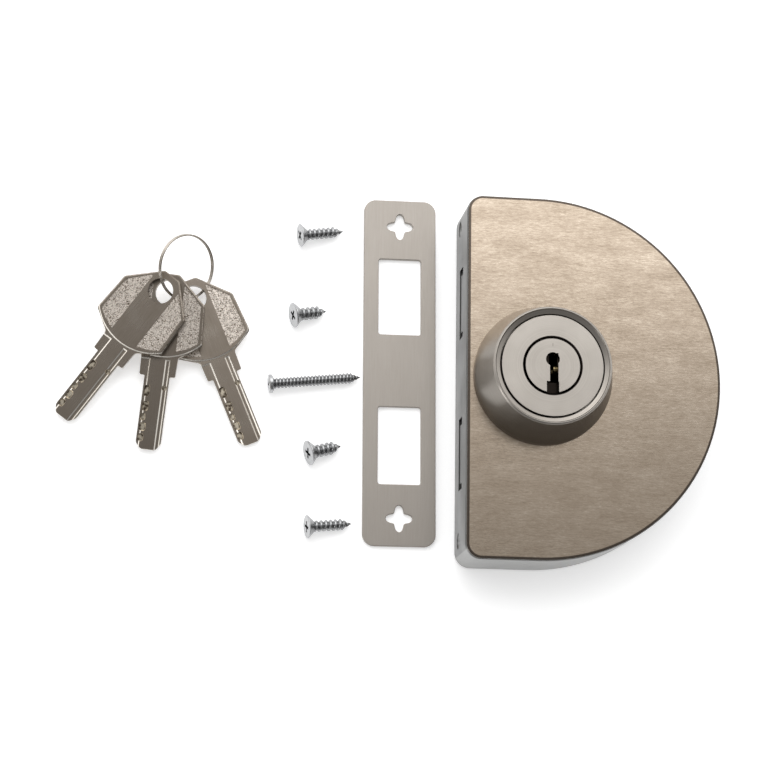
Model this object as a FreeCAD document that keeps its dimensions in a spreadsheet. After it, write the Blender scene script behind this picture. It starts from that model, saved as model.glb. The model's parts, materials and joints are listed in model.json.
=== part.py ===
import FreeCAD, Part
import math
import os
import re
import Sketcher
from FreeCAD import Placement, Rotation, Vector

# Sliding glass door lock: a half-round lock with a key cylinder and two hook bolts, its strike plate,
# its loose screws and three keys on a split ring.
# Frame: millimetres, +Z up out of the front cover, origin on the cylinder axis in the plane of the back.
# +X runs from the flat edge towards the curved edge, +Y to the top of the lock as it hangs on a door.

doc = FreeCAD.newDocument("sliding_door_lock")
sheet = doc.addObject("Spreadsheet::Sheet", "dims")

sizes = {
    # half-round lock body
    "arcRadius": 63.6,
    "edgeDistance": 26.3,
    "edgeStraight": 25.4,
    "cornerRadius": 5.4,
    "cutterMargin": 1.0,
    "lockThickness": 26.0,
    "coverThickness": 1.2,
    "coverInset": 0.3,
    "rimRound": 0.6,
    "edgeWall": 1.4,
    "frontWall": 2.8,
    "pocketEnd": 27.0,
    "pocketEndGap": 4.4,
    # glass slot and clamp
    "glassSlotStart": 30.0,
    "glassSlotBottom": 6.0,
    "glassSlotGap": 14.0,
    "clampInset": 3.0,
    "clampHalfHeight": 42.0,
    "clampPlateThickness": 2.0,
    "padThickness": 1.0,
    "padInset": 1.0,
    "clampPlay": 0.1,
    "clampScrewRadius": 3.0,
    "clampScrewInnerStart": 10.0,
    "clampScrewInnerY": 24.0,
    "clampScrewOuterInset": 10.3,
    "clampScrewOuterY": 12.0,
    "clampSocket": 3.0,
    "clampSocketDepth": 2.5,
    "accessClearance": 0.4,
    # edge mounting holes
    "edgeHoleGap": 4.075,
    "edgeHoleRadius": 1.7,
    "edgeHoleDepth": 16.0,
    "edgeHoleHeight": 9.7,
    "edgeSinkRadius": 3.0,
    "edgeSinkDepth": 1.3,
    # back cover screws
    "smallScrewRadius": 1.5,
    "smallHeadRadius": 2.8,
    "smallHeadHeight": 1.6,
    "smallScrewPlay": 0.05,
    "backScrewHeadRadius": 2.7,
    "backScrewLength": 5.0,
    "driveSlot": 0.6,
    "driveSlotDepth": 0.6,
    "backScrewInset": 4.0,
    "backScrewInnerX": -2.0,
    "backScrewAngle": 36.5,
    # base plate that carries the mechanism
    "basePlateBottom": 3.2,
    "basePlateThickness": 2.0,
    "basePlateGap": 0.3,
    "postRadius": 3.6,
    "postInset": 4.5,
    "postScrewDepth": 7.0,
    "tailHoleRadius": 4.5,
    # gear train
    "gearModule": 1.0,
    "pinionTeeth": 12,
    "gearAddendum": 0.9,
    "gearDedendum": 1.0,
    "rackAddendum": 0.6,
    "rackDedendum": 1.05,
    "toothThinning": 0.1,
    "toothBedding": 0.2,
    "pressureAngle": 20.0,
    "gearHeight": 4.0,
    "gearLift": 0.3,
    "rackPastHook": 9.5,
    "rackEndGap": 4.7,
    "studRadius": 2.0,
    "studPlay": 0.08,
    "studUpperRise": 6.5,
    "studLowerRise": 14.9,
    "studHeadGap": 0.3,
    # hook bolts
    "hookPivotX": -21.0,
    "hookBelowOpening": 6.2,
    "hookThickness": 6.0,
    "hookReach": 17.5,
    "hookFlushGap": 0.3,
    "hookHeel": 3.0,
    "hookArmRight": 3.4,
    "hookNoseRight": 8.5,
    "hookNoseHeight": 5.0,
    "hookNoseRound": 1.2,
    "hookHubRadius": 3.6,
    "hookPinRadius": 2.0,
    "hookPinPlay": 0.06,
    "hookSlotPlay": 0.3,
    "hookSectorStart": -105.0,
    "hookSectorEnd": 15.0,
    "pivotBossRadius": 4.0,
    "pinSeatDepth": 4.0,
    "washerRadius": 3.5,
    # cylinder and collar
    "collarBaseRadius": 24.0,
    "collarRimRadius": 20.3,
    "collarHeight": 17.4,
    "collarLip": 1.0,
    "collarFoot": 1.4,
    "collarMouth": 1.3,
    "collarMouthDepth": 3.2,
    "collarMouthStep": 0.8,
    "faceRadius": 17.3,
    "faceClearance": 0.4,
    "faceThickness": 5.0,
    "faceDrop": 0.6,
    "barrelRadius": 16.5,
    "barrelClearance": 0.2,
    "barrelRear": 14.0,
    "nutWall": 3.5,
    "nutThickness": 3.5,
    "nutPlay": 0.06,
    "nutNotch": 4.0,
    "nutNotchDepth": 1.5,
    "plugRadius": 9.26,
    "plugClearance": 0.06,
    "mouthBevel": 0.9,
    "plugRear": 12.2,
    "plugTailRadius": 4.4,
    "tailSquare": 5.0,
    "tailPlay": 0.08,
    "clipGrooveDepth": 1.0,
    "clipGrooveHeight": 0.9,
    "clipHeight": 0.8,
    "clipOuterRadius": 11.0,
    "clipOpening": 9.0,
    "clipPlay": 0.05,
    # keyhole and keyway
    "keyholeOffsetX": 0.45,
    "keyholeRoundRadius": 2.35,
    "keyholeRoundY": 2.2,
    "keyholeRoundDepth": 2.0,
    "keywayWidth": 2.9,
    "keywayTop": 4.3,
    "keywayBottom": -5.4,
    "keywayRear": 15.5,
    "footNotchWidth": 4.2,
    "footNotchDepth": 2.5,
    # pins in the cylinder
    "pinCount": 5,
    "pinPitch": 4.2,
    "pinFirstDrop": 5.8,
    "pinRadius": 1.3,
    "pinPlay": 0.06,
    "pinIntoKeyway": 0.7,
    "shearGap": 0.08,
    "driverShare": 0.55,
    "springWire": 0.3,
    "springTurns": 3,
    "chamberPlugLength": 0.9,
    "chamberPlugInset": 0.4,
    "pinionScrewHeadRadius": 3.0,
    "pinionScrewHeadHeight": 1.9,
    "pinionScrewLength": 5.0,
    # strike plate
    "strikeLength": 124.2,
    "strikeWidth": 25.6,
    "strikeThickness": 1.6,
    "strikeCorner": 4.2,
    "strikeGap": 7.1,
    "strikeY": 5.35,
    "strikeTurn": 0.56,
    "openingWidth": 15.1,
    "openingHeight": 27.4,
    "openingHalfSpacing": 26.7,
    "openingCorner": 0.9,
    "strikeHoleInset": 9.7,
    "strikeHoleLobe": 1.7,
    "strikeHoleReach": 3.1,
    "strikeHoleWaist": 1.2,
    # keys
    "keyThickness": 2.2,
    "keyHoleRadius": 4.4,
    "bowTop": -6.6,
    "bowTopHalf": 3.2,
    "bowShoulder": 3.2,
    "bowShoulderHalf": 13.2,
    "bowSide": 17.5,
    "bowSideHalf": 14.0,
    "bowFoot": 22.3,
    "bowFootHalf": 6.4,
    "bowCornerRound": 1.6,
    "neckEnd": 29.2,
    "neckHalf": 6.2,
    "bladeHalf": 4.35,
    "bladeEnd": 52.5,
    "keyTip": 54.8,
    "keyTipHalf": 2.5,
    "dimpleRadius": 1.3,
    "dimpleDepth": 0.7,
    "dimpleFirst": 34.0,
    "dimplePitch": 4.2,
    "dimpleSide": 2.4,
    "keyLeftX": -130.7,
    "keyLeftY": 27.9,
    "keyLeftTurn": -126.14,
    "keyLeftTilt": 8.5,
    "keyLeftRoll": 4.22,
    "keyMiddleX": -127.98,
    "keyMiddleY": 28.0,
    "keyMiddleTurn": -95.37,
    "keyMiddleTilt": 6.09,
    "keyMiddleRoll": 7.81,
    "keyRightX": -119.05,
    "keyRightY": 27.6,
    "keyRightTurn": -66.43,
    "keyRightTilt": 2.39,
    "keyRightRoll": 0.0,
    # split ring
    "ringRadius": 11.24,
    "ringWire": 0.34,
    "ringStep": 0.74,
    "ringSplitAt": -66.0,
    "ringSplitAngle": 30.0,
    "ringX": -122.15,
    "ringY": 37.3,
    "ringZ": 8.27,
    "ringLean": 38.8,
    "ringLeanTurn": -24.8,
    # loose screws, each lying on its head and its thread
    "sunkHeadRadius": 4.1,
    "sunkHeadHeight": 2.6,
    "sunkShankRadius": 2.0,
    "sunkLength": 16.2,
    "sunkPoint": 3.6,
    "shortHeadRadius": 4.4,
    "shortHeadHeight": 2.8,
    "shortShankRadius": 2.3,
    "shortLength": 12.6,
    "shortPoint": 3.4,
    "longHeadRadius": 3.3,
    "longHeadHeight": 2.4,
    "longShankRadius": 1.9,
    "longLength": 32.5,
    "longPoint": 3.6,
    "screwHeadEdge": 0.4,
    "screwTipRadius": 0.2,
    "crossWidth": 0.9,
    "crossReach": 1.9,
    "crossDepth": 1.2,
    "topScrewX": -82.6,
    "topScrewY": 52.1,
    "topScrewTurn": 10.7,
    "upperScrewX": -84.4,
    "upperScrewY": 22.9,
    "upperScrewTurn": 13.0,
    "longScrewX": -92.2,
    "longScrewY": -1.7,
    "longScrewTurn": 7.1,
    "lowerScrewX": -78.1,
    "lowerScrewY": -25.8,
    "lowerScrewTurn": 16.7,
    "bottomScrewX": -78.0,
    "bottomScrewY": -51.4,
    "bottomScrewTurn": 7.0,
}

for row, (alias, value) in enumerate(sizes.items(), start=1):
    sheet.set("A%d" % row, alias)
    sheet.set("B%d" % row, str(value))
    sheet.setAlias("B%d" % row, alias)
doc.recompute()

word = re.compile(r"(?<![\w.])[A-Za-z]\w*")


def bind(expression):
    # an expression on the sheet, written with bare size names
    return word.sub(lambda found: "dims." * (found.group(0) in sizes) + found.group(0), str(expression))


def number(expression):
    return float(sheet.evalExpression(bind(expression)))


def place(obj, x="0", y="0", z="0", turn=None, axis=None):
    if axis is not None:
        obj.Placement = Placement(Vector(), Rotation(axis, number(turn)))
    for letter, expression in (("x", x), ("y", y), ("z", z)):
        obj.setExpression("Placement.Base." + letter, bind(expression))
    return obj


def box(name, x, y, z, length, width, height):
    obj = doc.addObject("Part::Box", name)
    obj.setExpression("Length", bind(length))
    obj.setExpression("Width", bind(width))
    obj.setExpression("Height", bind(height))
    return place(obj, x, y, z)


def cylinder(name, radius, height, x="0", y="0", z="0", turn=None, axis=None):
    obj = doc.addObject("Part::Cylinder", name)
    obj.setExpression("Radius", bind(radius))
    obj.setExpression("Height", bind(height))
    return place(obj, x, y, z, turn, axis)


def cone(name, bottom, top, height, x="0", y="0", z="0", turn=None, axis=None):
    obj = doc.addObject("Part::Cone", name)
    obj.setExpression("Radius1", bind(bottom))
    obj.setExpression("Radius2", bind(top))
    obj.setExpression("Height", bind(height))
    return place(obj, x, y, z, turn, axis)


def fuse(name, pieces, refine=True):
    obj = doc.addObject("Part::MultiFuse", name)
    obj.Shapes = pieces
    obj.Refine = refine
    return obj


def cut(name, base, tools, refine=True):
    obj = doc.addObject("Part::Cut", name)
    obj.Base = base
    obj.Tool = tools[0] if len(tools) == 1 else fuse(name + "_tools", tools, False)
    obj.Refine = refine
    return obj


def common(name, base, tool):
    obj = doc.addObject("Part::Common", name)
    obj.Base = base
    obj.Tool = tool
    return obj


def group(name, solids):
    # several like solids that share one node
    obj = doc.addObject("Part::Compound", name)
    obj.Links = solids
    return obj


def planeOf(body, role):
    return [feature for feature in body.Origin.OriginFeatures if feature.Role == role][0]


def newSketch(body, role, lift="0"):
    sketch = body.newObject("Sketcher::SketchObject", body.Name + "_sketch")
    sketch.AttachmentSupport = [(planeOf(body, role), "")]
    sketch.MapMode = "FlatFace"
    sketch.setExpression("AttachmentOffset.Base.z", bind(lift))
    return sketch


def setAt(sketch, geometry, point, x, y):
    # ties one point of a sketch to two expressions on the sheet
    for kind, expression in (("DistanceX", x), ("DistanceY", y)):
        index = sketch.addConstraint(Sketcher.Constraint(kind, -1, 1, geometry, point, number(expression)))
        sketch.setExpression("Constraints[%d]" % index, bind(expression))


def polygon(sketch, points):
    corners = [Vector(number(x), number(y), 0) for x, y in points]
    count = len(corners)
    for i in range(count):
        sketch.addGeometry(Part.LineSegment(corners[i], corners[(i + 1) % count]))
    for i in range(count):
        sketch.addConstraint(Sketcher.Constraint("Coincident", i, 2, (i + 1) % count, 1))
        setAt(sketch, i, 1, *points[i])


def padded(label, points, thickness, bottom="0"):
    body = doc.addObject("PartDesign::Body", label)
    sketch = newSketch(body, "XY_Plane", bottom)
    polygon(sketch, points)
    pad = body.newObject("PartDesign::Pad", label + "_pad")
    pad.Profile = sketch
    pad.setExpression("Length", bind(thickness))
    return body


def turned(label, points):
    # a turned piece about the Z axis, from the (radius, height) corners of its half section
    body = doc.addObject("PartDesign::Body", label)
    sketch = newSketch(body, "XZ_Plane")
    polygon(sketch, points)
    revolution = body.newObject("PartDesign::Revolution", label + "_turn")
    revolution.Profile = sketch
    revolution.ReferenceAxis = (sketch, ["V_Axis"])
    revolution.Angle = 360
    return body


# Half-round outline: two straight edges, the large arc and two rounded corners at the flat edge.
arcCentreX = "(edgeStraight - edgeDistance)"


def halfRound(label, inset, bottom, thickness, corner):
    body = doc.addObject("PartDesign::Body", label)
    sketch = newSketch(body, "XY_Plane", bottom)
    radius = number("arcRadius - (%s)" % inset)
    left = number("(%s) - edgeDistance" % inset)
    round_ = number(corner)
    middle = number(arcCentreX)
    quarter = math.pi / 2
    up = Vector(0, 0, 1)

    def arc(x, y, r, start):
        return Part.ArcOfCircle(Part.Circle(Vector(x, y, 0), up, r), start, start + quarter)

    large = Part.ArcOfCircle(Part.Circle(Vector(middle, 0, 0), up, radius), -quarter, quarter)
    sketch.addGeometry([
        large,
        Part.LineSegment(Vector(middle, radius, 0), Vector(left + round_, radius, 0)),
        arc(left + round_, radius - round_, round_, quarter),
        Part.LineSegment(Vector(left, radius - round_, 0), Vector(left, round_ - radius, 0)),
        arc(left + round_, round_ - radius, round_, 2 * quarter),
        Part.LineSegment(Vector(left + round_, -radius, 0), Vector(middle, -radius, 0)),
    ])
    for first, second in ((0, 1), (1, 2), (2, 3), (3, 4), (4, 5), (5, 0)):
        sketch.addConstraint(Sketcher.Constraint("Tangent", first, 2, second, 1))
    sketch.addConstraint(Sketcher.Constraint("Horizontal", 1))
    sketch.addConstraint(Sketcher.Constraint("Vertical", 3))
    sketch.addConstraint(Sketcher.Constraint("Equal", 2, 4))
    sketch.addConstraint(Sketcher.Constraint("PointOnObject", 0, 3, -1))
    for constraint, expression in (
        (Sketcher.Constraint("Radius", 0, radius), "arcRadius - (%s)" % inset),
        (Sketcher.Constraint("Radius", 2, round_), corner),
        (Sketcher.Constraint("DistanceX", -1, 1, 0, 3, middle), arcCentreX),
        (Sketcher.Constraint("DistanceX", -1, 1, 3, 1, left), "(%s) - edgeDistance" % inset),
    ):
        index = sketch.addConstraint(constraint)
        sketch.setExpression("Constraints[%d]" % index, bind(expression))
    pad = body.newObject("PartDesign::Pad", label + "_pad")
    pad.Profile = sketch
    pad.setExpression("Length", bind(thickness))
    return body


def roundRim(body, radius, height):
    # rounds the edges of a body that lie in the plane at the given height
    doc.recompute()
    level = number(height)
    names = []
    for i, edge in enumerate(body.Shape.Edges, start=1):
        bounds = edge.BoundBox
        if abs(bounds.ZMin - level) < 1e-4 and abs(bounds.ZMax - level) < 1e-4:
            names.append("Edge%d" % i)
    before = body.Tip
    fillet = body.newObject("PartDesign::Fillet", body.Name + "_fillet")
    fillet.Base = (before, names)
    fillet.setExpression("Radius", bind(radius))
    body.Tip = fillet
    return body


aboutY = Vector(0, 1, 0)
nodes = []


def keep(obj):
    nodes.append(obj)
    return obj


# Heights that many pieces share.
coverBottom = "(lockThickness - coverThickness)"
pocketTop = "(%s - frontWall)" % coverBottom
glassSlotTop = "(glassSlotBottom + glassSlotGap)"
basePlateTop = "(basePlateBottom + basePlateThickness)"
gearBottom = "(%s + gearLift)" % basePlateTop
gearTop = "(%s + gearHeight)" % gearBottom
hookBottom = "(lockThickness / 2 - hookThickness / 2)"
hookTop = "(lockThickness / 2 + hookThickness / 2)"
pitchRadius = "(gearModule * pinionTeeth / 2)"
travel = "(%s * pi / 2)" % pitchRadius
faceTop = "(lockThickness + collarHeight - faceDrop)"
faceBottom = "(%s - faceThickness)" % faceTop
boreRadius = "(barrelRadius + barrelClearance)"
nutOuterRadius = "(barrelRadius + nutWall)"
openingShift = {"upper": "openingHalfSpacing", "lower": "(-openingHalfSpacing)"}
hookY = {side: "(%s - hookBelowOpening)" % shift for side, shift in openingShift.items()}
rackTop = "(%s + rackPastHook)" % hookY["upper"]
rackBottom = "(%s - %s - rackEndGap)" % (hookY["lower"], travel)
pocketHalfHeight = "(pocketEndGap - %s)" % rackBottom

# Lock body: one casting with a pocket for the mechanism and a slot for the glass. A cover lies on each face.
outer = halfRound("body_outer", "0", "coverThickness", "%s - coverThickness" % coverBottom, "cornerRadius")
roundRim(outer, "rimRound", coverBottom)
roundRim(outer, "rimRound", "coverThickness")
pocket = box("mechanism_pocket", "edgeWall - edgeDistance", "-" + pocketHalfHeight, "0",
             "edgeDistance - edgeWall + pocketEnd", "2 * " + pocketHalfHeight, pocketTop)
glassSlot = box("glass_slot", "glassSlotStart", "-arcRadius", "glassSlotBottom",
                "arcRadius", "2 * arcRadius", "glassSlotGap")
bodyBore = cylinder("body_bore", boreRadius, "lockThickness")
bodyCuts = [pocket, glassSlot, bodyBore]

for side, sign in (("upper", ""), ("lower", "-")):
    holeY = sign + "(%s + edgeHoleGap)" % pocketHalfHeight
    bodyCuts.append(cylinder("edge_hole_" + side, "edgeHoleRadius", "edgeHoleDepth", "-edgeDistance",
                             holeY, "edgeHoleHeight", "90", aboutY))
    bodyCuts.append(cone("edge_sink_" + side, "edgeSinkRadius", "edgeHoleRadius", "edgeSinkDepth",
                         "-edgeDistance", holeY, "edgeHoleHeight", "90", aboutY))
    halfLeft = "(hookPivotX + edgeDistance - hookFlushGap)"
    sweep = "sqrt(hookReach ^ 2 + hookNoseRight ^ 2)"
    bodyCuts.append(box("hook_slot_" + side, "-edgeDistance - cutterMargin",
                        "%s - %s - hookSlotPlay" % (hookY[side], halfLeft),
                        "%s - hookSlotPlay" % hookBottom,
                        "edgeWall + 2 * cutterMargin",
                        "%s + %s + 2 * hookSlotPlay" % (sweep, halfLeft),
                        "hookThickness + 2 * hookSlotPlay"))

clampScrewInnerX = "(glassSlotStart + clampScrewInnerStart)"
clampScrewOuterX = "(%s + arcRadius - clampScrewOuterInset)" % arcCentreX
clampScrewSpots = [(x, sign + y) for x, y in ((clampScrewInnerX, "clampScrewInnerY"),
                                              (clampScrewOuterX, "clampScrewOuterY")) for sign in ("", "-")]
for i, (x, y) in enumerate(clampScrewSpots):
    bodyCuts.append(cylinder("clamp_hole_%d" % i, "clampScrewRadius + smallScrewPlay", "glassSlotBottom + cutterMargin",
                             x, y, "0"))
backScrewRing = "(arcRadius - backScrewInset)"
backScrewOuterX = "(%s + %s * cos(backScrewAngle))" % (arcCentreX, backScrewRing)
backScrewOuterY = "(%s * sin(backScrewAngle))" % backScrewRing
backScrewSpots = [(x, sign + y) for x, y in (("backScrewInnerX", backScrewRing),
                                             (backScrewOuterX, backScrewOuterY)) for sign in ("", "-")]
for i, (x, y) in enumerate(backScrewSpots):
    bodyCuts.append(cylinder("back_screw_hole_%d" % i, "smallScrewRadius + smallScrewPlay",
                             "backScrewLength + smallScrewPlay", x, y, "0"))
shell = cut("lock_shell", outer, bodyCuts)

postY = "(%s - postInset)" % pocketHalfHeight
postSpots = [(x, sign + postY) for x in ("(edgeWall - edgeDistance + postInset)", "(pocketEnd - postInset)")
             for sign in ("", "-")]
posts = [cylinder("post_%d" % i, "postRadius", "%s - %s" % (pocketTop, basePlateTop), x, y, basePlateTop)
         for i, (x, y) in enumerate(postSpots)]
bosses = [cylinder("pivot_boss_" + side, "pivotBossRadius",
                   "%s - %s - hookSlotPlay" % (pocketTop, hookTop), "hookPivotX", hookY[side],
                   "%s + hookSlotPlay" % hookTop) for side in hookY]
postHoles = [cylinder("post_hole_%d" % i, "smallScrewRadius + smallScrewPlay",
                      "postScrewDepth + smallScrewPlay", x, y, basePlateTop)
             for i, (x, y) in enumerate(postSpots)]
pinSeats = [cylinder("pin_seat_" + side, "hookPinRadius + hookPinPlay",
                     "pinSeatDepth + hookSlotPlay", "hookPivotX", hookY[side], hookTop) for side in hookY]
keep(cut("lock_body", fuse("body_with_posts", [shell] + posts + bosses), postHoles + pinSeats))

# Covers.
frontPlate = halfRound("front_plate", "coverInset", coverBottom, "coverThickness", "cornerRadius - coverInset")
keep(cut("front_cover", frontPlate, [cylinder("cover_bore", boreRadius, "lockThickness")]))

backPlate = halfRound("back_plate", "coverInset", "0", "coverThickness", "cornerRadius - coverInset")
backCuts = [cylinder("access_hole_%d" % i, "clampScrewRadius + accessClearance", "coverThickness", x, y)
            for i, (x, y) in enumerate(clampScrewSpots)]
backCuts += [cone("cover_sink_%d" % i, "backScrewHeadRadius + smallScrewPlay", "smallScrewRadius + smallScrewPlay",
                  "coverThickness", x, y) for i, (x, y) in enumerate(backScrewSpots)]
keep(cut("back_cover", backPlate, backCuts))

backScrews = []
for i, (x, y) in enumerate(backScrewSpots):
    head = cone("back_head_%d" % i, "backScrewHeadRadius", "smallScrewRadius", "coverThickness", x, y)
    shank = cylinder("back_shank_%d" % i, "smallScrewRadius", "backScrewLength", x, y)
    slot = box("back_drive_%d" % i, x + " - backScrewHeadRadius", y + " - driveSlot / 2", "0",
               "2 * backScrewHeadRadius", "driveSlot", "driveSlotDepth")
    backScrews.append(cut("back_screw_%d" % i, fuse("back_blank_%d" % i, [head, shank]), [slot]))
keep(group("back_cover_screws", backScrews))

# Glass clamp: pads on both sides of the pane, a pressure plate and its grub screws.


def clampPlate(name, inset, bottom, thickness):
    disc = cylinder(name + "_disc", "arcRadius - clampInset - (%s)" % inset, thickness, arcCentreX, "0", bottom)
    block = box(name + "_block", "glassSlotStart + padInset + (%s)" % inset, "(%s) - clampHalfHeight" % inset,
                bottom, "arcRadius", "2 * clampHalfHeight - 2 * (%s)" % inset, thickness)
    return common(name, disc, block)


plateBottom = "(glassSlotBottom + clampPlay)"
plateTop = "(%s + clampPlateThickness)" % plateBottom
keep(clampPlate("pressure_plate", "0", plateBottom, "clampPlateThickness"))
keep(clampPlate("back_glass_pad", "padInset", plateTop, "padThickness"))
keep(clampPlate("front_glass_pad", "padInset", "%s - padThickness" % glassSlotTop, "padThickness"))

grubBottom = "(coverThickness + clampPlay)"
grubScrews = []
for i, (x, y) in enumerate(clampScrewSpots):
    blank = cylinder("grub_blank_%d" % i, "clampScrewRadius", "%s - %s" % (plateBottom, grubBottom), x, y, grubBottom)
    socket = doc.addObject("Part::Prism", "grub_socket_%d" % i)
    socket.Polygon = 6
    socket.setExpression("Circumradius", bind("clampSocket / sqrt(3)"))
    socket.setExpression("Height", bind("clampSocketDepth"))
    place(socket, x, y, grubBottom)
    grubScrews.append(cut("grub_screw_%d" % i, blank, [socket]))
keep(group("clamp_screws", grubScrews))

# Base plate of the mechanism, with its screws.
plate = box("plate_blank", "edgeWall - edgeDistance + basePlateGap", "basePlateGap - " + pocketHalfHeight,
            "basePlateBottom", "edgeDistance - edgeWall + pocketEnd - 2 * basePlateGap",
            "2 * %s - 2 * basePlateGap" % pocketHalfHeight, "basePlateThickness")
plateCuts = [cylinder("plate_screw_hole_%d" % i, "smallScrewRadius + smallScrewPlay", "lockThickness / 2", x, y)
             for i, (x, y) in enumerate(postSpots)]
plateCuts += [cylinder("plate_pin_hole_" + side, "hookPinRadius + hookPinPlay", "lockThickness / 2",
                       "hookPivotX", hookY[side]) for side in hookY]
rackX = "(%s + hookPivotX - %s) / 2" % (pitchRadius, pitchRadius)
studY = {"upper": "(%s + studUpperRise)" % hookY["upper"], "lower": "(%s + studLowerRise)" % hookY["lower"]}
plateCuts += [cylinder("plate_stud_hole_" + side, "studRadius + smallScrewPlay", "lockThickness / 2",
                       rackX, studY[side]) for side in studY]
plateCuts.append(cylinder("plate_tail_hole", "tailHoleRadius", "lockThickness / 2"))
keep(cut("base_plate", plate, plateCuts))

plateScrews = []
for i, (x, y) in enumerate(postSpots):
    head = cylinder("plate_head_%d" % i, "smallHeadRadius", "smallHeadHeight", x, y,
                    "basePlateBottom - smallHeadHeight")
    shank = cylinder("plate_shank_%d" % i, "smallScrewRadius", "basePlateThickness + postScrewDepth", x, y,
                     "basePlateBottom")
    slot = box("plate_drive_%d" % i, x + " - smallHeadRadius", y + " - driveSlot / 2",
               "basePlateBottom - smallHeadHeight", "2 * smallHeadRadius", "driveSlot", "driveSlotDepth")
    plateScrews.append(cut("plate_screw_%d" % i, fuse("plate_screw_blank_%d" % i, [head, shank]), [slot]))
keep(group("base_plate_screws", plateScrews))

studTop = "(%s - studHeadGap)" % hookBottom
keep(group("rack_guide_studs", [cylinder("guide_stud_" + side, "studRadius", "%s - basePlateBottom" % studTop,
                                         rackX, studY[side], "basePlateBottom") for side in studY]))

# Gear teeth. A gear tooth is an involute flank pair, a rack tooth is a trapezoid at the same pressure angle.
angle = math.radians(number("pressureAngle"))
moduleSize = number("gearModule")
teeth = int(number("pinionTeeth"))
pitch = number(pitchRadius)
tipRadius = pitch + number("gearAddendum")
rootRadius = pitch - number("gearDedendum")
thinning = number("toothThinning")
flankPoints = 7


def involute(a):
    return math.tan(a) - a


def toothFaces(first, last):
    # teeth numbered first to last, a tooth pitch apart; tooth 0 points along +X
    base = pitch * math.cos(angle)
    halfPitch = math.pi / (2 * teeth) - thinning / pitch
    flank = []
    for i in range(flankPoints):
        r = base + (tipRadius - base) * i / (flankPoints - 1)
        at = halfPitch + involute(angle) - involute(math.acos(min(1.0, base / r)))
        flank.append((r, at))
    flank = [(rootRadius - moduleSize, flank[0][1])] + flank
    blades = []
    for k in range(first, last + 1):
        centre = 2 * math.pi * k / teeth
        left = [Vector(r * math.cos(centre + a), r * math.sin(centre + a), 0) for r, a in flank]
        right = [Vector(r * math.cos(centre - a), r * math.sin(centre - a), 0) for r, a in reversed(flank)]
        tip = Part.Arc(left[-1], Vector(tipRadius * math.cos(centre), tipRadius * math.sin(centre), 0), right[0])
        edges = [Part.makePolygon(left), Part.Wire([tip.toShape()]), Part.makePolygon(right + [left[0]])]
        blades.append(Part.Face(Part.Wire([edge for wire in edges for edge in wire.Edges])))
    return blades


def prism(face, bottom, top):
    face = face.copy()
    face.translate(Vector(0, 0, bottom))
    return face.extrude(Vector(0, 0, top - bottom))


def gearSolid(first, last, hub, bottom, top):
    solids = [prism(face, bottom, top) for face in toothFaces(first, last)]
    return hub.fuse(solids).removeSplitter()


def feature(label, shape):
    obj = doc.addObject("Part::Feature", label)
    obj.Shape = shape
    return obj


gearLow = number(gearBottom)
gearHigh = number(gearTop)
squareHalf = number("tailSquare / 2 + tailPlay")
pinionHub = Part.makeCylinder(rootRadius, gearHigh - gearLow, Vector(0, 0, gearLow))
pinionShape = gearSolid(0, teeth - 1, pinionHub, gearLow, gearHigh).cut(
    Part.makeBox(2 * squareHalf, 2 * squareHalf, gearHigh - gearLow, Vector(-squareHalf, -squareHalf, gearLow)))
keep(feature("drive_pinion", pinionShape))

# Rack slide: one bar with teeth towards the pinion on its right and towards both hook sectors on its left.
toothPitch = math.pi * moduleSize
rackAddendum = number("rackAddendum")
rackDedendum = number("rackDedendum")
leftPitchLine = number("hookPivotX") + pitch
rightPitchLine = -pitch
slideTravel = number(travel)
rise = math.tan(angle)
barLeft = leftPitchLine + rackDedendum
barRight = rightPitchLine - rackDedendum
bar = Part.makeBox(barRight - barLeft, number(rackTop) - number(rackBottom), gearHigh - gearLow,
                   Vector(barLeft, number(rackBottom), gearLow))


def rackTooth(pitchLine, outward, y):
    half = toothPitch / 4 - thinning
    foot = half + rackDedendum * rise
    tip = half - rackAddendum * rise
    rootX = pitchLine - outward * (rackDedendum + number("toothBedding"))
    bedX = pitchLine - outward * rackDedendum
    tipX = pitchLine + outward * rackAddendum
    corners = [(rootX, y - foot), (bedX, y - foot), (tipX, y - tip), (tipX, y + tip), (bedX, y + foot),
               (rootX, y + foot)]
    points = [Vector(cx, cy, 0) for cx, cy in corners]
    return prism(Part.Face(Part.makePolygon(points + [points[0]])), gearLow, gearHigh)


# Teeth stand on both sides of each contact point, one more than the travel needs below it. The pinion's run
# has a second tooth above it, because its own teeth go all the way round.
rackTeeth = []
teethBelow = math.ceil(slideTravel / toothPitch + 1)
for contact, pitchLine, outward, teethAbove in ((number(hookY["upper"]), leftPitchLine, -1, 1),
                                                (number(hookY["lower"]), leftPitchLine, -1, 1),
                                                (0.0, rightPitchLine, 1, 2)):
    for k in range(-teethBelow, teethAbove):
        rackTeeth.append(rackTooth(pitchLine, outward, contact + (k + 0.5) * toothPitch))
studHole = number("studRadius + studPlay")
studX = number(rackX)
guideSlots = []
for side in studY:
    y = number(studY[side])
    low, high = y - slideTravel, y
    guideSlots.append(Part.makeBox(2 * studHole, high - low, gearHigh, Vector(studX - studHole, low, 0)))
    guideSlots += [Part.makeCylinder(studHole, gearHigh, Vector(studX, end, 0)) for end in (low, high)]
rackShape = bar.fuse(rackTeeth).removeSplitter().cut(guideSlots[0].multiFuse(guideSlots[1:]))
keep(feature("rack_slide", rackShape))

# Hook bolts: a flat hook flush with the edge of the lock, on a hub with a toothed sector below it.
hookLow = number(hookBottom)
hookHigh = number(hookTop)
hookFlush = number("hookPivotX + edgeDistance - hookFlushGap")
reach = number("hookReach")
armRight = number("hookArmRight")
noseRight = number("hookNoseRight")
noseHeight = number("hookNoseHeight")
hubRadius = number("hookHubRadius")
hookBore = number("hookPinRadius + hookPinPlay")


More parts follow.
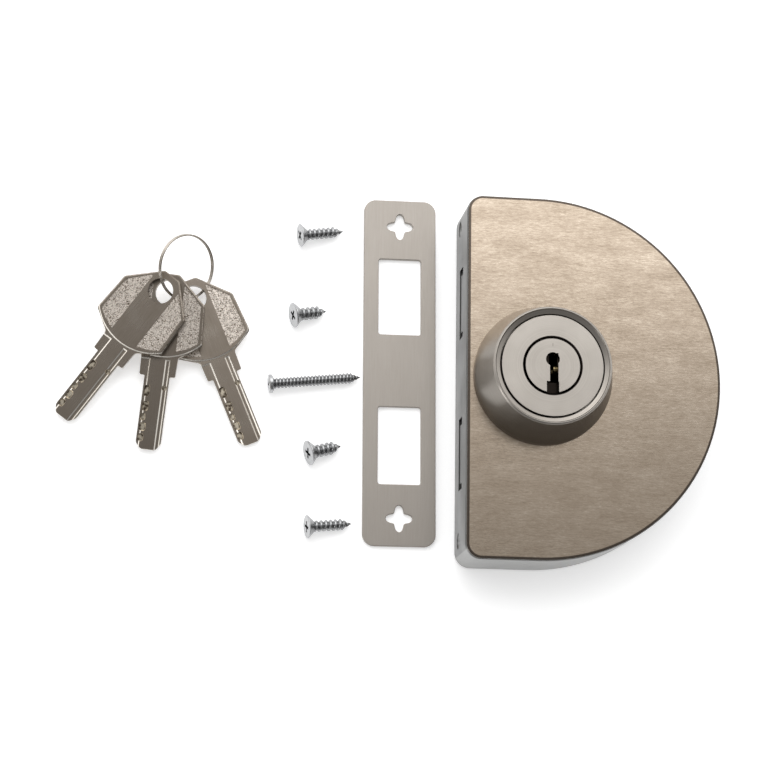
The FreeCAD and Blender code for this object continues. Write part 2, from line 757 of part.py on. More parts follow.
def hookShape():
    corners = [(-hookFlush, -number("hookHeel")), (-hookFlush, reach), (noseRight, reach),
               (noseRight, reach - noseHeight), (armRight, reach - noseHeight), (armRight, 0), (0, 0)]
    points = [Vector(x, y, 0) for x, y in corners]
    arm = prism(Part.Face(Part.makePolygon(points + [points[0]])), hookLow, hookHigh)
    eye = Part.makeCylinder(hookFlush, hookHigh - hookLow, Vector(0, 0, hookLow))
    blade = arm.fuse(eye).removeSplitter()
    roundSize = number("hookNoseRound")
    corner = [edge for edge in blade.Edges if len(edge.Vertexes) == 2
              and abs(edge.Vertexes[0].X - edge.Vertexes[1].X) < 1e-6
              and abs(edge.Vertexes[0].Y - edge.Vertexes[1].Y) < 1e-6
              and edge.CenterOfMass.x > (armRight + noseRight) / 2]
    blade = blade.makeFillet(roundSize, corner)
    hub = Part.makeCylinder(hubRadius, hookLow - gearLow, Vector(0, 0, gearLow))
    start = number("hookSectorStart")
    span = number("hookSectorEnd") - start
    sector = Part.makeCylinder(rootRadius, gearHigh - gearLow, Vector(0, 0, gearLow), Vector(0, 0, 1), span)
    sector.rotate(Vector(), Vector(0, 0, 1), start)
    first = math.ceil(start / 360 * teeth)
    geared = gearSolid(first, 0, hub.fuse(sector), gearLow, gearHigh)
    bore = Part.makeCylinder(hookBore, hookHigh, Vector())
    return blade.fuse(geared).cut(bore).removeSplitter()


washers = []
for side in hookY:
    hook = keep(feature(side + "_hook", hookShape()))
    hook.setExpression("Placement.Base.x", bind("hookPivotX"))
    hook.setExpression("Placement.Base.y", bind(hookY[side]))
    keep(cylinder(side + "_hook_pin", "hookPinRadius", "%s + pinSeatDepth - basePlateBottom" % hookTop,
                  "hookPivotX", hookY[side], "basePlateBottom"))
    disc = cylinder("washer_disc_" + side, "washerRadius", "gearLift", "hookPivotX", hookY[side], basePlateTop)
    bore = cylinder("washer_bore_" + side, "hookPinRadius + hookPinPlay", "gearLift", "hookPivotX", hookY[side],
                    basePlateTop)
    washers.append(cut("washer_" + side, disc, [bore]))
keep(group("hook_washers", washers))

# Conical collar round the cylinder.
collarTop = "(lockThickness + collarHeight)"
faceBore = "(faceRadius + faceClearance)"
keep(turned("cylinder_collar", [
    (boreRadius, "lockThickness"),
    ("collarBaseRadius", "lockThickness"),
    ("collarBaseRadius", "lockThickness + collarFoot"),
    ("collarRimRadius", "%s - collarLip / 2" % collarTop),
    ("collarRimRadius - collarLip / 2", collarTop),
    ("collarRimRadius - collarLip", collarTop),
    ("%s + collarMouth" % faceBore, "%s - collarMouthStep" % collarTop),
    (faceBore, "%s - collarMouthDepth" % collarTop),
    (faceBore, faceBottom),
    (boreRadius, faceBottom),
]))

# Cylinder housing, plug, clip and ring nut.
plugBore = "(plugRadius + plugClearance)"
housing = turned("housing_blank", [
    (plugBore, "barrelRear"),
    ("barrelRadius", "barrelRear"),
    ("barrelRadius", faceBottom),
    ("faceRadius", faceBottom),
    ("faceRadius", faceTop),
    ("%s + mouthBevel" % plugBore, faceTop),
    (plugBore, "%s - mouthBevel" % faceTop),
])
pinHeights = ["%s - pinFirstDrop - %d * pinPitch" % (faceTop, i) for i in range(int(number("pinCount")))]
chambers = [cylinder("chamber_%d" % i, "pinRadius + pinPlay", "barrelRadius", "0", "0", z, "90", aboutY)
            for i, z in enumerate(pinHeights)]
keep(cut("cylinder_housing", housing, chambers))

keep(cut("cylinder_ring_nut", turned("nut_blank", [
    ("barrelRadius + nutPlay", "%s - nutThickness" % pocketTop),
    (nutOuterRadius, "%s - nutThickness" % pocketTop),
    (nutOuterRadius, pocketTop),
    ("barrelRadius + nutPlay", pocketTop),
]), [box("nut_notch_x", "-" + nutOuterRadius, "-nutNotch / 2", "%s - nutThickness" % pocketTop,
         "2 * " + nutOuterRadius, "nutNotch", "nutNotchDepth"),
     box("nut_notch_y", "-nutNotch / 2", "-" + nutOuterRadius, "%s - nutThickness" % pocketTop,
         "nutNotch", "2 * " + nutOuterRadius, "nutNotchDepth")]))

grooveBottom = "(plugRear + (barrelRear - plugRear) / 2 - clipGrooveHeight / 2)"
plugBlank = turned("plug_blank", [
    ("0", gearTop),
    ("plugTailRadius", gearTop),
    ("plugTailRadius", "plugRear"),
    ("plugRadius", "plugRear"),
    ("plugRadius", grooveBottom),
    ("plugRadius - clipGrooveDepth", grooveBottom),
    ("plugRadius - clipGrooveDepth", "%s + clipGrooveHeight" % grooveBottom),
    ("plugRadius", "%s + clipGrooveHeight" % grooveBottom),
    ("plugRadius", faceTop),
    ("0", faceTop),
])
tail = box("plug_tail", "-tailSquare / 2", "-tailSquare / 2", gearBottom, "tailSquare", "tailSquare",
           "%s - %s + plugTailRadius / 2" % (gearTop, gearBottom))
keyway = box("keyway", "keyholeOffsetX - keywayWidth / 2", "keywayBottom", "keywayRear", "keywayWidth",
             "keywayTop - keywayBottom", "lockThickness + collarHeight")
keyholeRound = cylinder("keyhole_round", "keyholeRoundRadius", "keyholeRoundDepth + cutterMargin", "0", "keyholeRoundY",
                        "%s - keyholeRoundDepth" % faceTop)
footNotch = box("keyhole_foot", "-footNotchWidth / 2", "-plugRadius - cutterMargin", "%s - footNotchDepth" % faceTop,
                "footNotchWidth", "plugRadius + cutterMargin + keywayBottom", "footNotchDepth + cutterMargin")
tailScrewHole = cylinder("tail_screw_hole", "smallScrewRadius + smallScrewPlay",
                         "pinionScrewLength + smallScrewPlay", "0", "0", gearBottom)
pinBores = [cylinder("pin_bore_%d" % i, "pinRadius + pinPlay", "plugRadius", "keyholeOffsetX", "0", z, "90",
                     aboutY) for i, z in enumerate(pinHeights)]
keep(cut("plug", fuse("plug_with_tail", [plugBlank, tail]),
         [keyway, keyholeRound, footNotch, tailScrewHole] + pinBores))

clipBottom = "(%s + (clipGrooveHeight - clipHeight) / 2)" % grooveBottom
keep(cut("plug_retaining_clip", turned("clip_blank", [
    ("plugRadius - clipGrooveDepth + clipPlay", clipBottom),
    ("clipOuterRadius", clipBottom),
    ("clipOuterRadius", "%s + clipHeight" % clipBottom),
    ("plugRadius - clipGrooveDepth + clipPlay", "%s + clipHeight" % clipBottom),
]), [box("clip_opening", "0", "-clipOpening / 2", clipBottom, "clipOuterRadius + cutterMargin", "clipOpening", "clipHeight")]))

screwHead = cylinder("pinion_screw_head", "pinionScrewHeadRadius", "pinionScrewHeadHeight", "0", "0",
                     "%s - pinionScrewHeadHeight" % gearBottom)
screwShank = cylinder("pinion_screw_shank", "smallScrewRadius", "pinionScrewLength", "0", "0", gearBottom)
screwDrive = box("pinion_screw_drive", "-pinionScrewHeadRadius", "-driveSlot / 2",
                 "%s - pinionScrewHeadHeight" % gearBottom, "2 * pinionScrewHeadRadius", "driveSlot",
                 "driveSlotDepth")
keep(cut("pinion_screw", fuse("pinion_screw_blank", [screwHead, screwShank]), [screwDrive]))

# Pins, springs and chamber plugs, one of each to a pin height, along +X from the keyway.
keyPinStart = "(keyholeOffsetX + keywayWidth / 2 - pinIntoKeyway)"
driverStart = "(%s + shearGap)" % plugBore
springEnd = "(barrelRadius - chamberPlugInset - chamberPlugLength)"
driverLength = "(driverShare * (%s - %s))" % (springEnd, driverStart)
springStart = "(%s + %s)" % (driverStart, driverLength)
springLength = "(%s - %s)" % (springEnd, springStart)


def arcAlong(start, tangent, end):
    # the arc from one point to another that leaves the first along the given direction
    chord = end - start
    normal = chord - tangent * chord.dot(tangent)
    centre = start + normal * (chord.dot(chord) / (2 * normal.dot(normal)))
    middle = (start + end) / 2 - centre
    return Part.Arc(start, centre + middle * ((start - centre).Length / middle.Length), end).toShape()


def biarc(start, leave, end, arrive):
    # two arcs that run into each other, from one point and direction to another
    across = end - start
    along = across.dot(leave + arrive)
    turn = 2 * (1 - leave.dot(arrive))
    reach = (math.sqrt(along * along + turn * across.dot(across)) - along) / turn
    joint = (start + end + (leave - arrive) * reach) / 2
    return [arcAlong(start, leave, joint), arcAlong(end, -arrive, joint)]


def wireAlong(edges, start, tangent, radius):
    # a round wire along a path of arcs
    section = Part.Circle(start, tangent, radius)
    return Part.Wire(edges).makePipeShell([Part.Wire([section.toShape()])], True, False)


def coil():
    # a compression spring along +X from the origin, one unbroken wire
    wire = number("springWire")
    halfTurns = 2 * int(number("springTurns"))
    rise = (number(springLength) - wire) / halfTurns
    mean = number("pinRadius") - wire / 2
    slope = rise / math.pi

    def at(k):
        return Vector(wire / 2 + k * rise, mean * math.cos(k * math.pi), mean * math.sin(k * math.pi))

    def heading(k):
        return Vector(slope, -mean * math.sin(k * math.pi), mean * math.cos(k * math.pi)).normalize()

    edges = []
    for k in range(halfTurns):
        edges += biarc(at(k), heading(k), at(k + 1), heading(k + 1))
    line = [edge.valueAt(edge.FirstParameter + (edge.LastParameter - edge.FirstParameter) * i / 12)
            for edge in edges for i in range(12)]
    gap = min((a - b).Length for i, a in enumerate(line) for b in line[i + 24:]) - wire
    print("least gap of a pin spring to itself %.2f" % gap)
    return wireAlong(edges, at(0), heading(0), wire / 2)


coilShape = coil()
keyPins, driverPins, springs, chamberPlugs = [], [], [], []
for i, z in enumerate(pinHeights):
    keyPins.append(cylinder("key_pin_%d" % i, "pinRadius", "plugRadius - pinPlay - %s" % keyPinStart,
                            keyPinStart, "0", z, "90", aboutY))
    driverPins.append(cylinder("driver_pin_%d" % i, "pinRadius", driverLength, driverStart, "0", z, "90", aboutY))
    springs.append(place(feature("pin_spring_%d" % i, coilShape), springStart, "0", z))
    chamberPlugs.append(cylinder("chamber_plug_%d" % i, "pinRadius + pinPlay / 2", "chamberPlugLength", springEnd,
                                 "0", z, "90", aboutY))
for label, solids in (("key_pins", keyPins), ("driver_pins", driverPins), ("pin_springs", springs),
                      ("chamber_plugs", chamberPlugs)):
    keep(group(label, solids))

# Strike plate.
strikeBlank = box("strike_blank", "-strikeWidth / 2", "-strikeLength / 2", "0", "strikeWidth", "strikeLength",
                  "strikeThickness")


def roundCorners(name, base, radius):
    # the upright corner edges of a block, rounded
    doc.recompute()
    picked = []
    for i, edge in enumerate(base.Shape.Edges, start=1):
        if edge.BoundBox.XLength < 1e-6 and edge.BoundBox.YLength < 1e-6:
            picked.append((i, number(radius), number(radius)))
    obj = doc.addObject("Part::Fillet", name)
    obj.Base = base
    obj.Edges = picked
    return obj


strikeHoleY = "(strikeLength / 2 - strikeHoleInset)"
strikeCuts = []
for side, sign in (("upper", ""), ("lower", "-")):
    opening = box("strike_opening_" + side, "-openingWidth / 2",
                  "%sopeningHalfSpacing - openingHeight / 2" % sign, "0", "openingWidth", "openingHeight",
                  "strikeThickness")
    strikeCuts.append(roundCorners("strike_opening_round_" + side, opening, "openingCorner"))
    for dx, dy in ((1, 0), (-1, 0), (0, 1), (0, -1)):
        strikeCuts.append(cylinder("strike_lobe_%s_%d%d" % (side, dx + 1, dy + 1), "strikeHoleLobe",
                                   "strikeThickness", "%d * strikeHoleReach" % dx,
                                   "%s%s + %d * strikeHoleReach" % (sign, strikeHoleY, dy)))
    strikeCuts.append(box("strike_cross_%s" % side, "-strikeHoleReach",
                          "%s%s - strikeHoleWaist" % (sign, strikeHoleY), "0", "2 * strikeHoleReach",
                          "2 * strikeHoleWaist", "strikeThickness"))
    strikeCuts.append(box("strike_bar_%s" % side, "-strikeHoleWaist",
                          "%s%s - strikeHoleReach" % (sign, strikeHoleY), "0", "2 * strikeHoleWaist",
                          "2 * strikeHoleReach", "strikeThickness"))
strike = keep(cut("strike_plate", roundCorners("strike_rounded", strikeBlank, "strikeCorner"), strikeCuts))
strike.Placement = Placement(Vector(), Rotation(Vector(0, 0, 1), number("strikeTurn")))
strike.setExpression("Placement.Base.x", bind("-(edgeDistance + strikeGap + strikeWidth / 2)"))
strike.setExpression("Placement.Base.y", bind("strikeY"))

# Keys: a six-sided bow with a hole for the ring, a neck and a flat blade with a row of dimples on each face.
# Each key's own frame has its origin in the middle of that hole, +X towards the tip and +Z out of a face.


def mirrored(points):
    return points + [(x, "-(%s)" % y) for x, y in reversed(points)]


def keyShape(label):
    outline = mirrored([("bowTop", "bowTopHalf"), ("bowShoulder", "bowShoulderHalf"), ("bowSide", "bowSideHalf"),
                        ("bowFoot", "bowFootHalf"), ("neckEnd", "neckHalf"), ("neckEnd", "bladeHalf"),
                        ("bladeEnd", "bladeHalf"), ("keyTip", "keyTipHalf")])
    blank = padded(label + "_blank", outline, "keyThickness", "-keyThickness / 2")
    doc.recompute()
    rounded = doc.addObject("Part::Fillet", label + "_rounded")
    rounded.Base = blank
    limit = number("bowFoot - cutterMargin")
    size = number("bowCornerRound")
    rounded.Edges = [(i, size, size) for i, edge in enumerate(blank.Shape.Edges, start=1)
                     if edge.BoundBox.XLength < 1e-6 and edge.BoundBox.YLength < 1e-6
                     and edge.CenterOfMass.x < limit]
    tools = [cylinder(label + "_hole", "keyHoleRadius", "2 * keyThickness", z="-keyThickness")]
    for i in range(int(number("pinCount"))):
        x = "dimpleFirst + %d * dimplePitch" % i
        tools.append(cone("%s_front_dimple_%d" % (label, i), "dimpleRadius / 2", "dimpleRadius", "dimpleDepth", x,
                          "-dimpleSide", "keyThickness / 2 - dimpleDepth"))
        tools.append(cone("%s_back_dimple_%d" % (label, i), "dimpleRadius", "dimpleRadius / 2", "dimpleDepth", x,
                          "dimpleSide", "-keyThickness / 2"))
    return cut(label, rounded, tools)


for side in ("Left", "Middle", "Right"):
    key = keep(keyShape("key_" + side.lower()))
    stem = "key" + side
    key.Placement = Placement(Vector(), Rotation(number(stem + "Turn"), number(stem + "Tilt"), number(stem + "Roll")))
    key.setExpression("Placement.Base.x", bind(stem + "X"))
    key.setExpression("Placement.Base.y", bind(stem + "Y"))
    lean = "cos({0}Tilt) * (keyThickness / 2 * cos({0}Roll) + bladeHalf * abs(sin({0}Roll)))".format(stem)
    key.setExpression("Placement.Base.z", bind("keyTip * sin(%sTilt) + %s" % (stem, lean)))

# Split ring: one wire that goes round twice, flat in two layers, and steps from one to the other across the split.


def ringShape():
    radius = number("ringRadius")
    wire = number("ringWire")
    split = math.radians(number("ringSplitAngle"))
    first = math.radians(number("ringSplitAt")) + split / 2
    half = (2 * math.pi - split) / 2
    step = number("ringStep") / 2

    def at(a, z):
        return Vector(radius * math.cos(a), radius * math.sin(a), z)

    def layer(z):
        ends = [first, first + half, first + 2 * half]
        return [Part.Arc(at(a, z), at((a + b) / 2, z), at(b, z)).toShape() for a, b in zip(ends, ends[1:])]

    leave = Vector(-math.sin(first - split), math.cos(first - split), 0)
    arrive = Vector(-math.sin(first), math.cos(first), 0)
    jog = biarc(at(first - split, -step), leave, at(first, step), arrive)
    return wireAlong(layer(-step) + jog + layer(step), at(first, -step), arrive, wire)


splitRing = keep(feature("split_ring", ringShape()))
splitRing.Placement = Placement(Vector(), Rotation(number("ringLeanTurn"), number("ringLean"), 0))
for letter in "XYZ":
    splitRing.setExpression("Placement.Base." + letter.lower(), bind("ring" + letter))

# Loose screws. Each is turned about its own axis, with the flat of the head at the origin.


def looseScrew(label, kind, spot):
    head, height, shank, length, point = [kind + part for part in
                                          ("HeadRadius", "HeadHeight", "ShankRadius", "Length", "Point")]
    blank = turned(label + "_blank", [
        ("0", "0"),
        (head, "0"),
        (head, "-screwHeadEdge"),
        (shank, "-" + height),
        (shank, "%s - %s" % (point, length)),
        ("screwTipRadius", "-" + length),
        ("0", "-" + length),
    ])
    cross = [box("%s_cross_%d" % (label, i), "-" + size[0], "-" + size[1], "-crossDepth", "2 * " + size[0],
                 "2 * " + size[1], "2 * crossDepth")
             for i, size in enumerate((("crossReach", "crossWidth / 2"), ("crossWidth / 2", "crossReach")))]
    screw = keep(cut(label, blank, cross))
    rise = "atan((%s - %s) / (%s - %s - screwHeadEdge))" % (head, shank, length, point)
    screw.Placement = Placement(Vector(), Rotation(number(spot + "Turn") + 180, 90 - number(rise), 0))
    screw.setExpression("Placement.Base.x", bind(spot + "X"))
    screw.setExpression("Placement.Base.y", bind(spot + "Y"))
    screw.setExpression("Placement.Base.z", bind("%s * cos(%s) + screwHeadEdge * sin(%s)" % (head, rise, rise)))


for label, kind, spot in (("countersunk_screw_top", "sunk", "topScrew"),
                          ("short_screw_upper", "short", "upperScrew"),
                          ("long_screw", "long", "longScrew"),
                          ("short_screw_lower", "short", "lowerScrew"),
                          ("countersunk_screw_bottom", "sunk", "bottomScrew")):
    looseScrew(label, kind, spot)

doc.recompute()
failed = [obj.Name for obj in doc.Objects if "Invalid" in obj.State or "Error" in obj.State]
if failed:
    raise RuntimeError("not built: %s" % failed)
for node in nodes:
    if node.Shape.isNull() or not node.Shape.isValid():
        raise RuntimeError("bad shape: %s" % node.Label)
os.makedirs("parts", exist_ok=True)
for node in nodes:
    node.Shape.exportStep("parts/%s.step" % node.Label)
    print(node.Label, len(node.Shape.Solids), round(node.Shape.Volume, 1))
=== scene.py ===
import json
import math

import bmesh
import bpy
from mathutils import Euler, Matrix, Vector


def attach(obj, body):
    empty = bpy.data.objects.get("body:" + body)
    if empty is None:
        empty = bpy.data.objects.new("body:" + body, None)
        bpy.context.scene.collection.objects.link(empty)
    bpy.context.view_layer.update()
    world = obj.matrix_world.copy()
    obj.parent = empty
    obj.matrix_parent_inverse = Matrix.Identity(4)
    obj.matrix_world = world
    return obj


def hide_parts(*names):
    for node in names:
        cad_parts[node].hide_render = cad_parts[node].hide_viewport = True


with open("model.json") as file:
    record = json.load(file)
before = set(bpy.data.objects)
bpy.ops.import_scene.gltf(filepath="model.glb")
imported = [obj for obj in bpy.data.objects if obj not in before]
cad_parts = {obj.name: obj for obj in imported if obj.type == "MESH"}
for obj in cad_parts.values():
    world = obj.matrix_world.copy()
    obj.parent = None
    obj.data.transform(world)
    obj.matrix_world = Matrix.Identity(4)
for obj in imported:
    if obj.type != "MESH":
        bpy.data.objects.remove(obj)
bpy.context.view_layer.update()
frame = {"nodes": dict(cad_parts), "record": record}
nodes = frame["nodes"]
collection = bpy.context.scene.collection
bodyOf = {node: body for body, members in frame["record"]["behaviour"]["bodies"].items() for node in members}
mm = 0.001  # pieces and finishes are set in millimetres, and the frame is in metres
mergeDistance = 1e-6
print("frame loaded with", len(nodes), "nodes")


def rgb(colour):
    return (*colour, 1.0)


class Value:
    # one output of a node tree; maths on it adds Math nodes
    def __init__(self, graph, socket):
        self.graph = graph
        self.socket = socket

    def output(self, index):
        return Value(self.graph, self.socket.node.outputs[index])

    def maths(self, operation, *values):
        return self.graph.add("ShaderNodeMath", {"operation": operation}, dict(enumerate(values)))

    def __add__(self, other):
        return self.maths("ADD", self, other)

    def __radd__(self, other):
        return self.maths("ADD", other, self)

    def __sub__(self, other):
        return self.maths("SUBTRACT", self, other)

    def __rsub__(self, other):
        return self.maths("SUBTRACT", other, self)

    def __mul__(self, other):
        return self.maths("MULTIPLY", self, other)

    def __rmul__(self, other):
        return self.maths("MULTIPLY", other, self)

    def __truediv__(self, other):
        return self.maths("DIVIDE", self, other)

    def __abs__(self):
        return self.maths("ABSOLUTE", self)

    def least(self, other):
        return self.maths("MINIMUM", self, other)

    def most(self, other):
        return self.maths("MAXIMUM", self, other)

    def wave(self, operation):
        return self.maths(operation, self)

    def span(self, fromLow, fromHigh, toLow, toHigh, ease="LINEAR"):
        return self.graph.add("ShaderNodeMapRange", {"interpolation_type": ease},
                              {0: self, 1: fromLow, 2: fromHigh, 3: toLow, 4: toHigh})

    def above(self, low, soft):
        return self.span(low - soft, low + soft, 0.0, 1.0, "SMOOTHSTEP")

    def below(self, high, soft):
        return self.span(high - soft, high + soft, 1.0, 0.0, "SMOOTHSTEP")

    def between(self, low, high, soft):
        # 1 from low to high, with soft sides
        return self.above(low, soft) * self.below(high, soft)


class Graph:
    def __init__(self, tree):
        self.tree = tree

    def add(self, kind, settings=None, inputs=None, output=0):
        node = self.tree.nodes.new(kind)
        for key, value in (settings or {}).items():
            if key == "stops":
                self.setStops(node.color_ramp, value)
            else:
                setattr(node, key, value)
        for key, value in (inputs or {}).items():
            self.feed(node.inputs[key], value)
        return Value(self, node.outputs[output])

    def setStops(self, ramp, stops):
        # a new ramp has two stops, which become the first and the last
        for place, colour in stops[1:-1]:
            ramp.elements.new(place).color = rgb(colour)
        for element, (place, colour) in ((ramp.elements[0], stops[0]), (ramp.elements[-1], stops[-1])):
            element.position = place
            element.color = rgb(colour)

    def feed(self, socket, value):
        if isinstance(value, Value):
            self.tree.links.new(value.socket, socket)
        else:
            socket.default_value = value

    def parts(self, vector):
        # the x, y and z of a vector
        x = self.add("ShaderNodeSeparateXYZ", {}, {0: vector})
        return x, x.output(1), x.output(2)


class Finish(Graph):
    # a material round one principled shader
    def __init__(self, name, constants):
        self.material = bpy.data.materials.new(name)
        self.material.use_nodes = True
        super().__init__(self.material.node_tree)
        self.tree.nodes.clear()
        surface = self.add("ShaderNodeBsdfPrincipled", {}, constants)
        self.shader = surface.socket.node
        self.feed(self.tree.nodes.new("ShaderNodeOutputMaterial").inputs["Surface"], surface)

    def set(self, name, value):
        self.feed(self.shader.inputs[name], value)

    def here(self, centre=(0, 0, 0), turn=(0, 0, 0)):
        # object coordinates in a frame with the given centre and turn
        coordinates = self.add("ShaderNodeTexCoord", output=3)
        return self.add("ShaderNodeMapping", {"vector_type": "TEXTURE"},
                        {"Vector": coordinates, "Location": centre, "Rotation": turn})

    def millimetres(self, place):
        # the x, y and z of a place
        return [part * (1 / mm) for part in self.parts(place)]

    def stretch(self, vector, scale):
        return self.add("ShaderNodeMapping", {}, {"Vector": vector, "Scale": scale})

    def noise(self, vector, scale=1.0, detail=3.0, rough=0.5, distortion=0.0):
        return self.add("ShaderNodeTexNoise", {}, {"Vector": vector, "Scale": scale, "Detail": detail,
                                                   "Roughness": rough, "Distortion": distortion})

    def ramp(self, value, stops):
        return self.add("ShaderNodeValToRGB", {"stops": stops}, {0: value})

    def mix(self, factor, first, second):
        return self.add("ShaderNodeMix", {"data_type": "RGBA"}, {0: factor, 6: first, 7: second}, 2)

    def length(self, first, second):
        flat = self.add("ShaderNodeCombineXYZ", {}, {0: first, 1: second, 2: 0.0})
        return self.add("ShaderNodeVectorMath", {"operation": "LENGTH"}, {0: flat}, 1)

    def bump(self, height, distance, strength=1.0, normal=None):
        inputs = {"Height": height, "Distance": distance, "Strength": strength}
        if normal is not None:
            inputs["Normal"] = normal
        return self.add("ShaderNodeBump", {}, inputs)


metal = {"Metallic": 1.0, "Specular IOR Level": 0.5}
noiseSpan = (0.3, 0.7)  # most values of a noise texture lie between these
brushShares = {"long": 0.38, "fine": 0.34, "cloud": 0.28}
ringShare = 0.55


def brushed(name, look):
    # fine straight brush lines along one axis of the piece
    finish = Finish(name, metal)
    place = finish.here()
    long = finish.noise(finish.stretch(place, look["longLines"]), detail=3, rough=0.6)
    fine = finish.noise(finish.stretch(place, look["fineLines"]), detail=2, rough=0.6)
    cloud = finish.noise(finish.stretch(place, look["cloud"]), detail=3, rough=0.6)
    lines = long * brushShares["long"] + fine * brushShares["fine"] + cloud * brushShares["cloud"]
    colour = finish.ramp(lines, look["stops"])
    if "rim" in look:
        # painted shade: the narrow broken edge all round is painted darker, for the shade and dark reflection
        # along it
        rim = look["rim"]
        x, y, z = finish.millimetres(place)
        y = abs(y)
        arc = finish.length((x - rim["arcMiddle"]).most(0.0), y) - rim["arcRadius"]
        corner = finish.length((rim["flat"] + rim["corner"] - x).most(0.0),
                               (y - rim["arcRadius"] + rim["corner"]).most(0.0)) - rim["corner"]
        edge = arc.most(corner).above(-rim["width"], rim["soft"])
        colour = finish.mix(edge * rim["shade"], colour, rgb(rim["colour"]))
    finish.set("Base Color", colour)
    finish.set("Roughness", lines.span(*noiseSpan, *look["roughness"][::-1]))
    finish.set("Normal", finish.bump(long * 0.5 + fine * 0.5, look["depth"], look["strength"]))
    return finish.material


def turned(name, look):
    # fine rings round an upright axis, as a lathe tool leaves them
    finish = Finish(name, metal)
    place = finish.here()
    x, y, z = finish.millimetres(place)
    radius = finish.length(x, y)
    ringPlace = finish.add("ShaderNodeCombineXYZ", {},
                           {0: radius * look["rings"], 1: 0.0, 2: z * look["rings"]})
    rings = finish.noise(ringPlace, detail=4, rough=0.7)
    cloud = finish.noise(place, look["cloud"], detail=3)
    shade = rings * ringShare + cloud * (1 - ringShare)
    colour = finish.ramp(shade, look["stops"])
    if "paintedShade" in look:
        # painted shade: the groove round the plug and the sides below the face are painted dark, and so is
        # the small mark above the keyhole
        paintedShade = look["paintedShade"]
        under = 1.0 - z.span(*paintedShade["faceStep"], 0.0, 1.0)
        mark = abs(x).below(*paintedShade["markHalf"]) * y.between(*paintedShade["mark"]) * paintedShade["markShade"]
        hollow = radius.between(*paintedShade["groove"]).most(under).most(mark)
        colour = finish.mix(hollow, colour, rgb(paintedShade["colour"]))
    finish.set("Base Color", colour)
    finish.set("Roughness", shade.span(*noiseSpan, *look["roughness"][::-1]))
    finish.set("Normal", finish.bump(rings, look["depth"], look["strength"]))
    return finish.material


def grained(finish, look):
    # sets a fine grain and soft blotches, and gives their colour
    place = finish.here()
    grain = finish.noise(place, look["grain"], detail=3, rough=0.6)
    cloud = finish.noise(place, look["cloud"], detail=2)
    finish.set("Roughness", cloud.span(*noiseSpan, *look["roughness"]))
    finish.set("Normal", finish.bump(grain, look["depth"], look["strength"]))
    return finish.ramp(grain * 0.5 + cloud * 0.5, look["stops"])


def plain(name, look):
    # plated, blackened or rubber surface
    finish = Finish(name, {**metal, "Metallic": look["metallic"]})
    finish.set("Base Color", grained(finish, look))
    return finish.material


def castBody(name, look):
    # satin grey casting with painted shade: the flat edge is painted darker, most in its lower band, and its
    # screw holes are painted dark
    finish = Finish(name, metal)
    colour = grained(finish, look)
    x, y, z = finish.millimetres(finish.here())
    shade = look["edgeShade"] + look["bandShade"] * z.below(*look["bandTop"])
    colour = finish.mix(x.below(*look["edge"]) * shade, colour, rgb(look["edgeColour"]))
    radius = finish.length(abs(y) - look["holeAt"], z - look["holeHeight"])
    hole = radius.below(*look["holeRadius"]) * x.between(*look["holeDepth"])
    finish.set("Base Color", finish.mix(hole, colour, rgb(look["holeColour"])))
    return finish.material


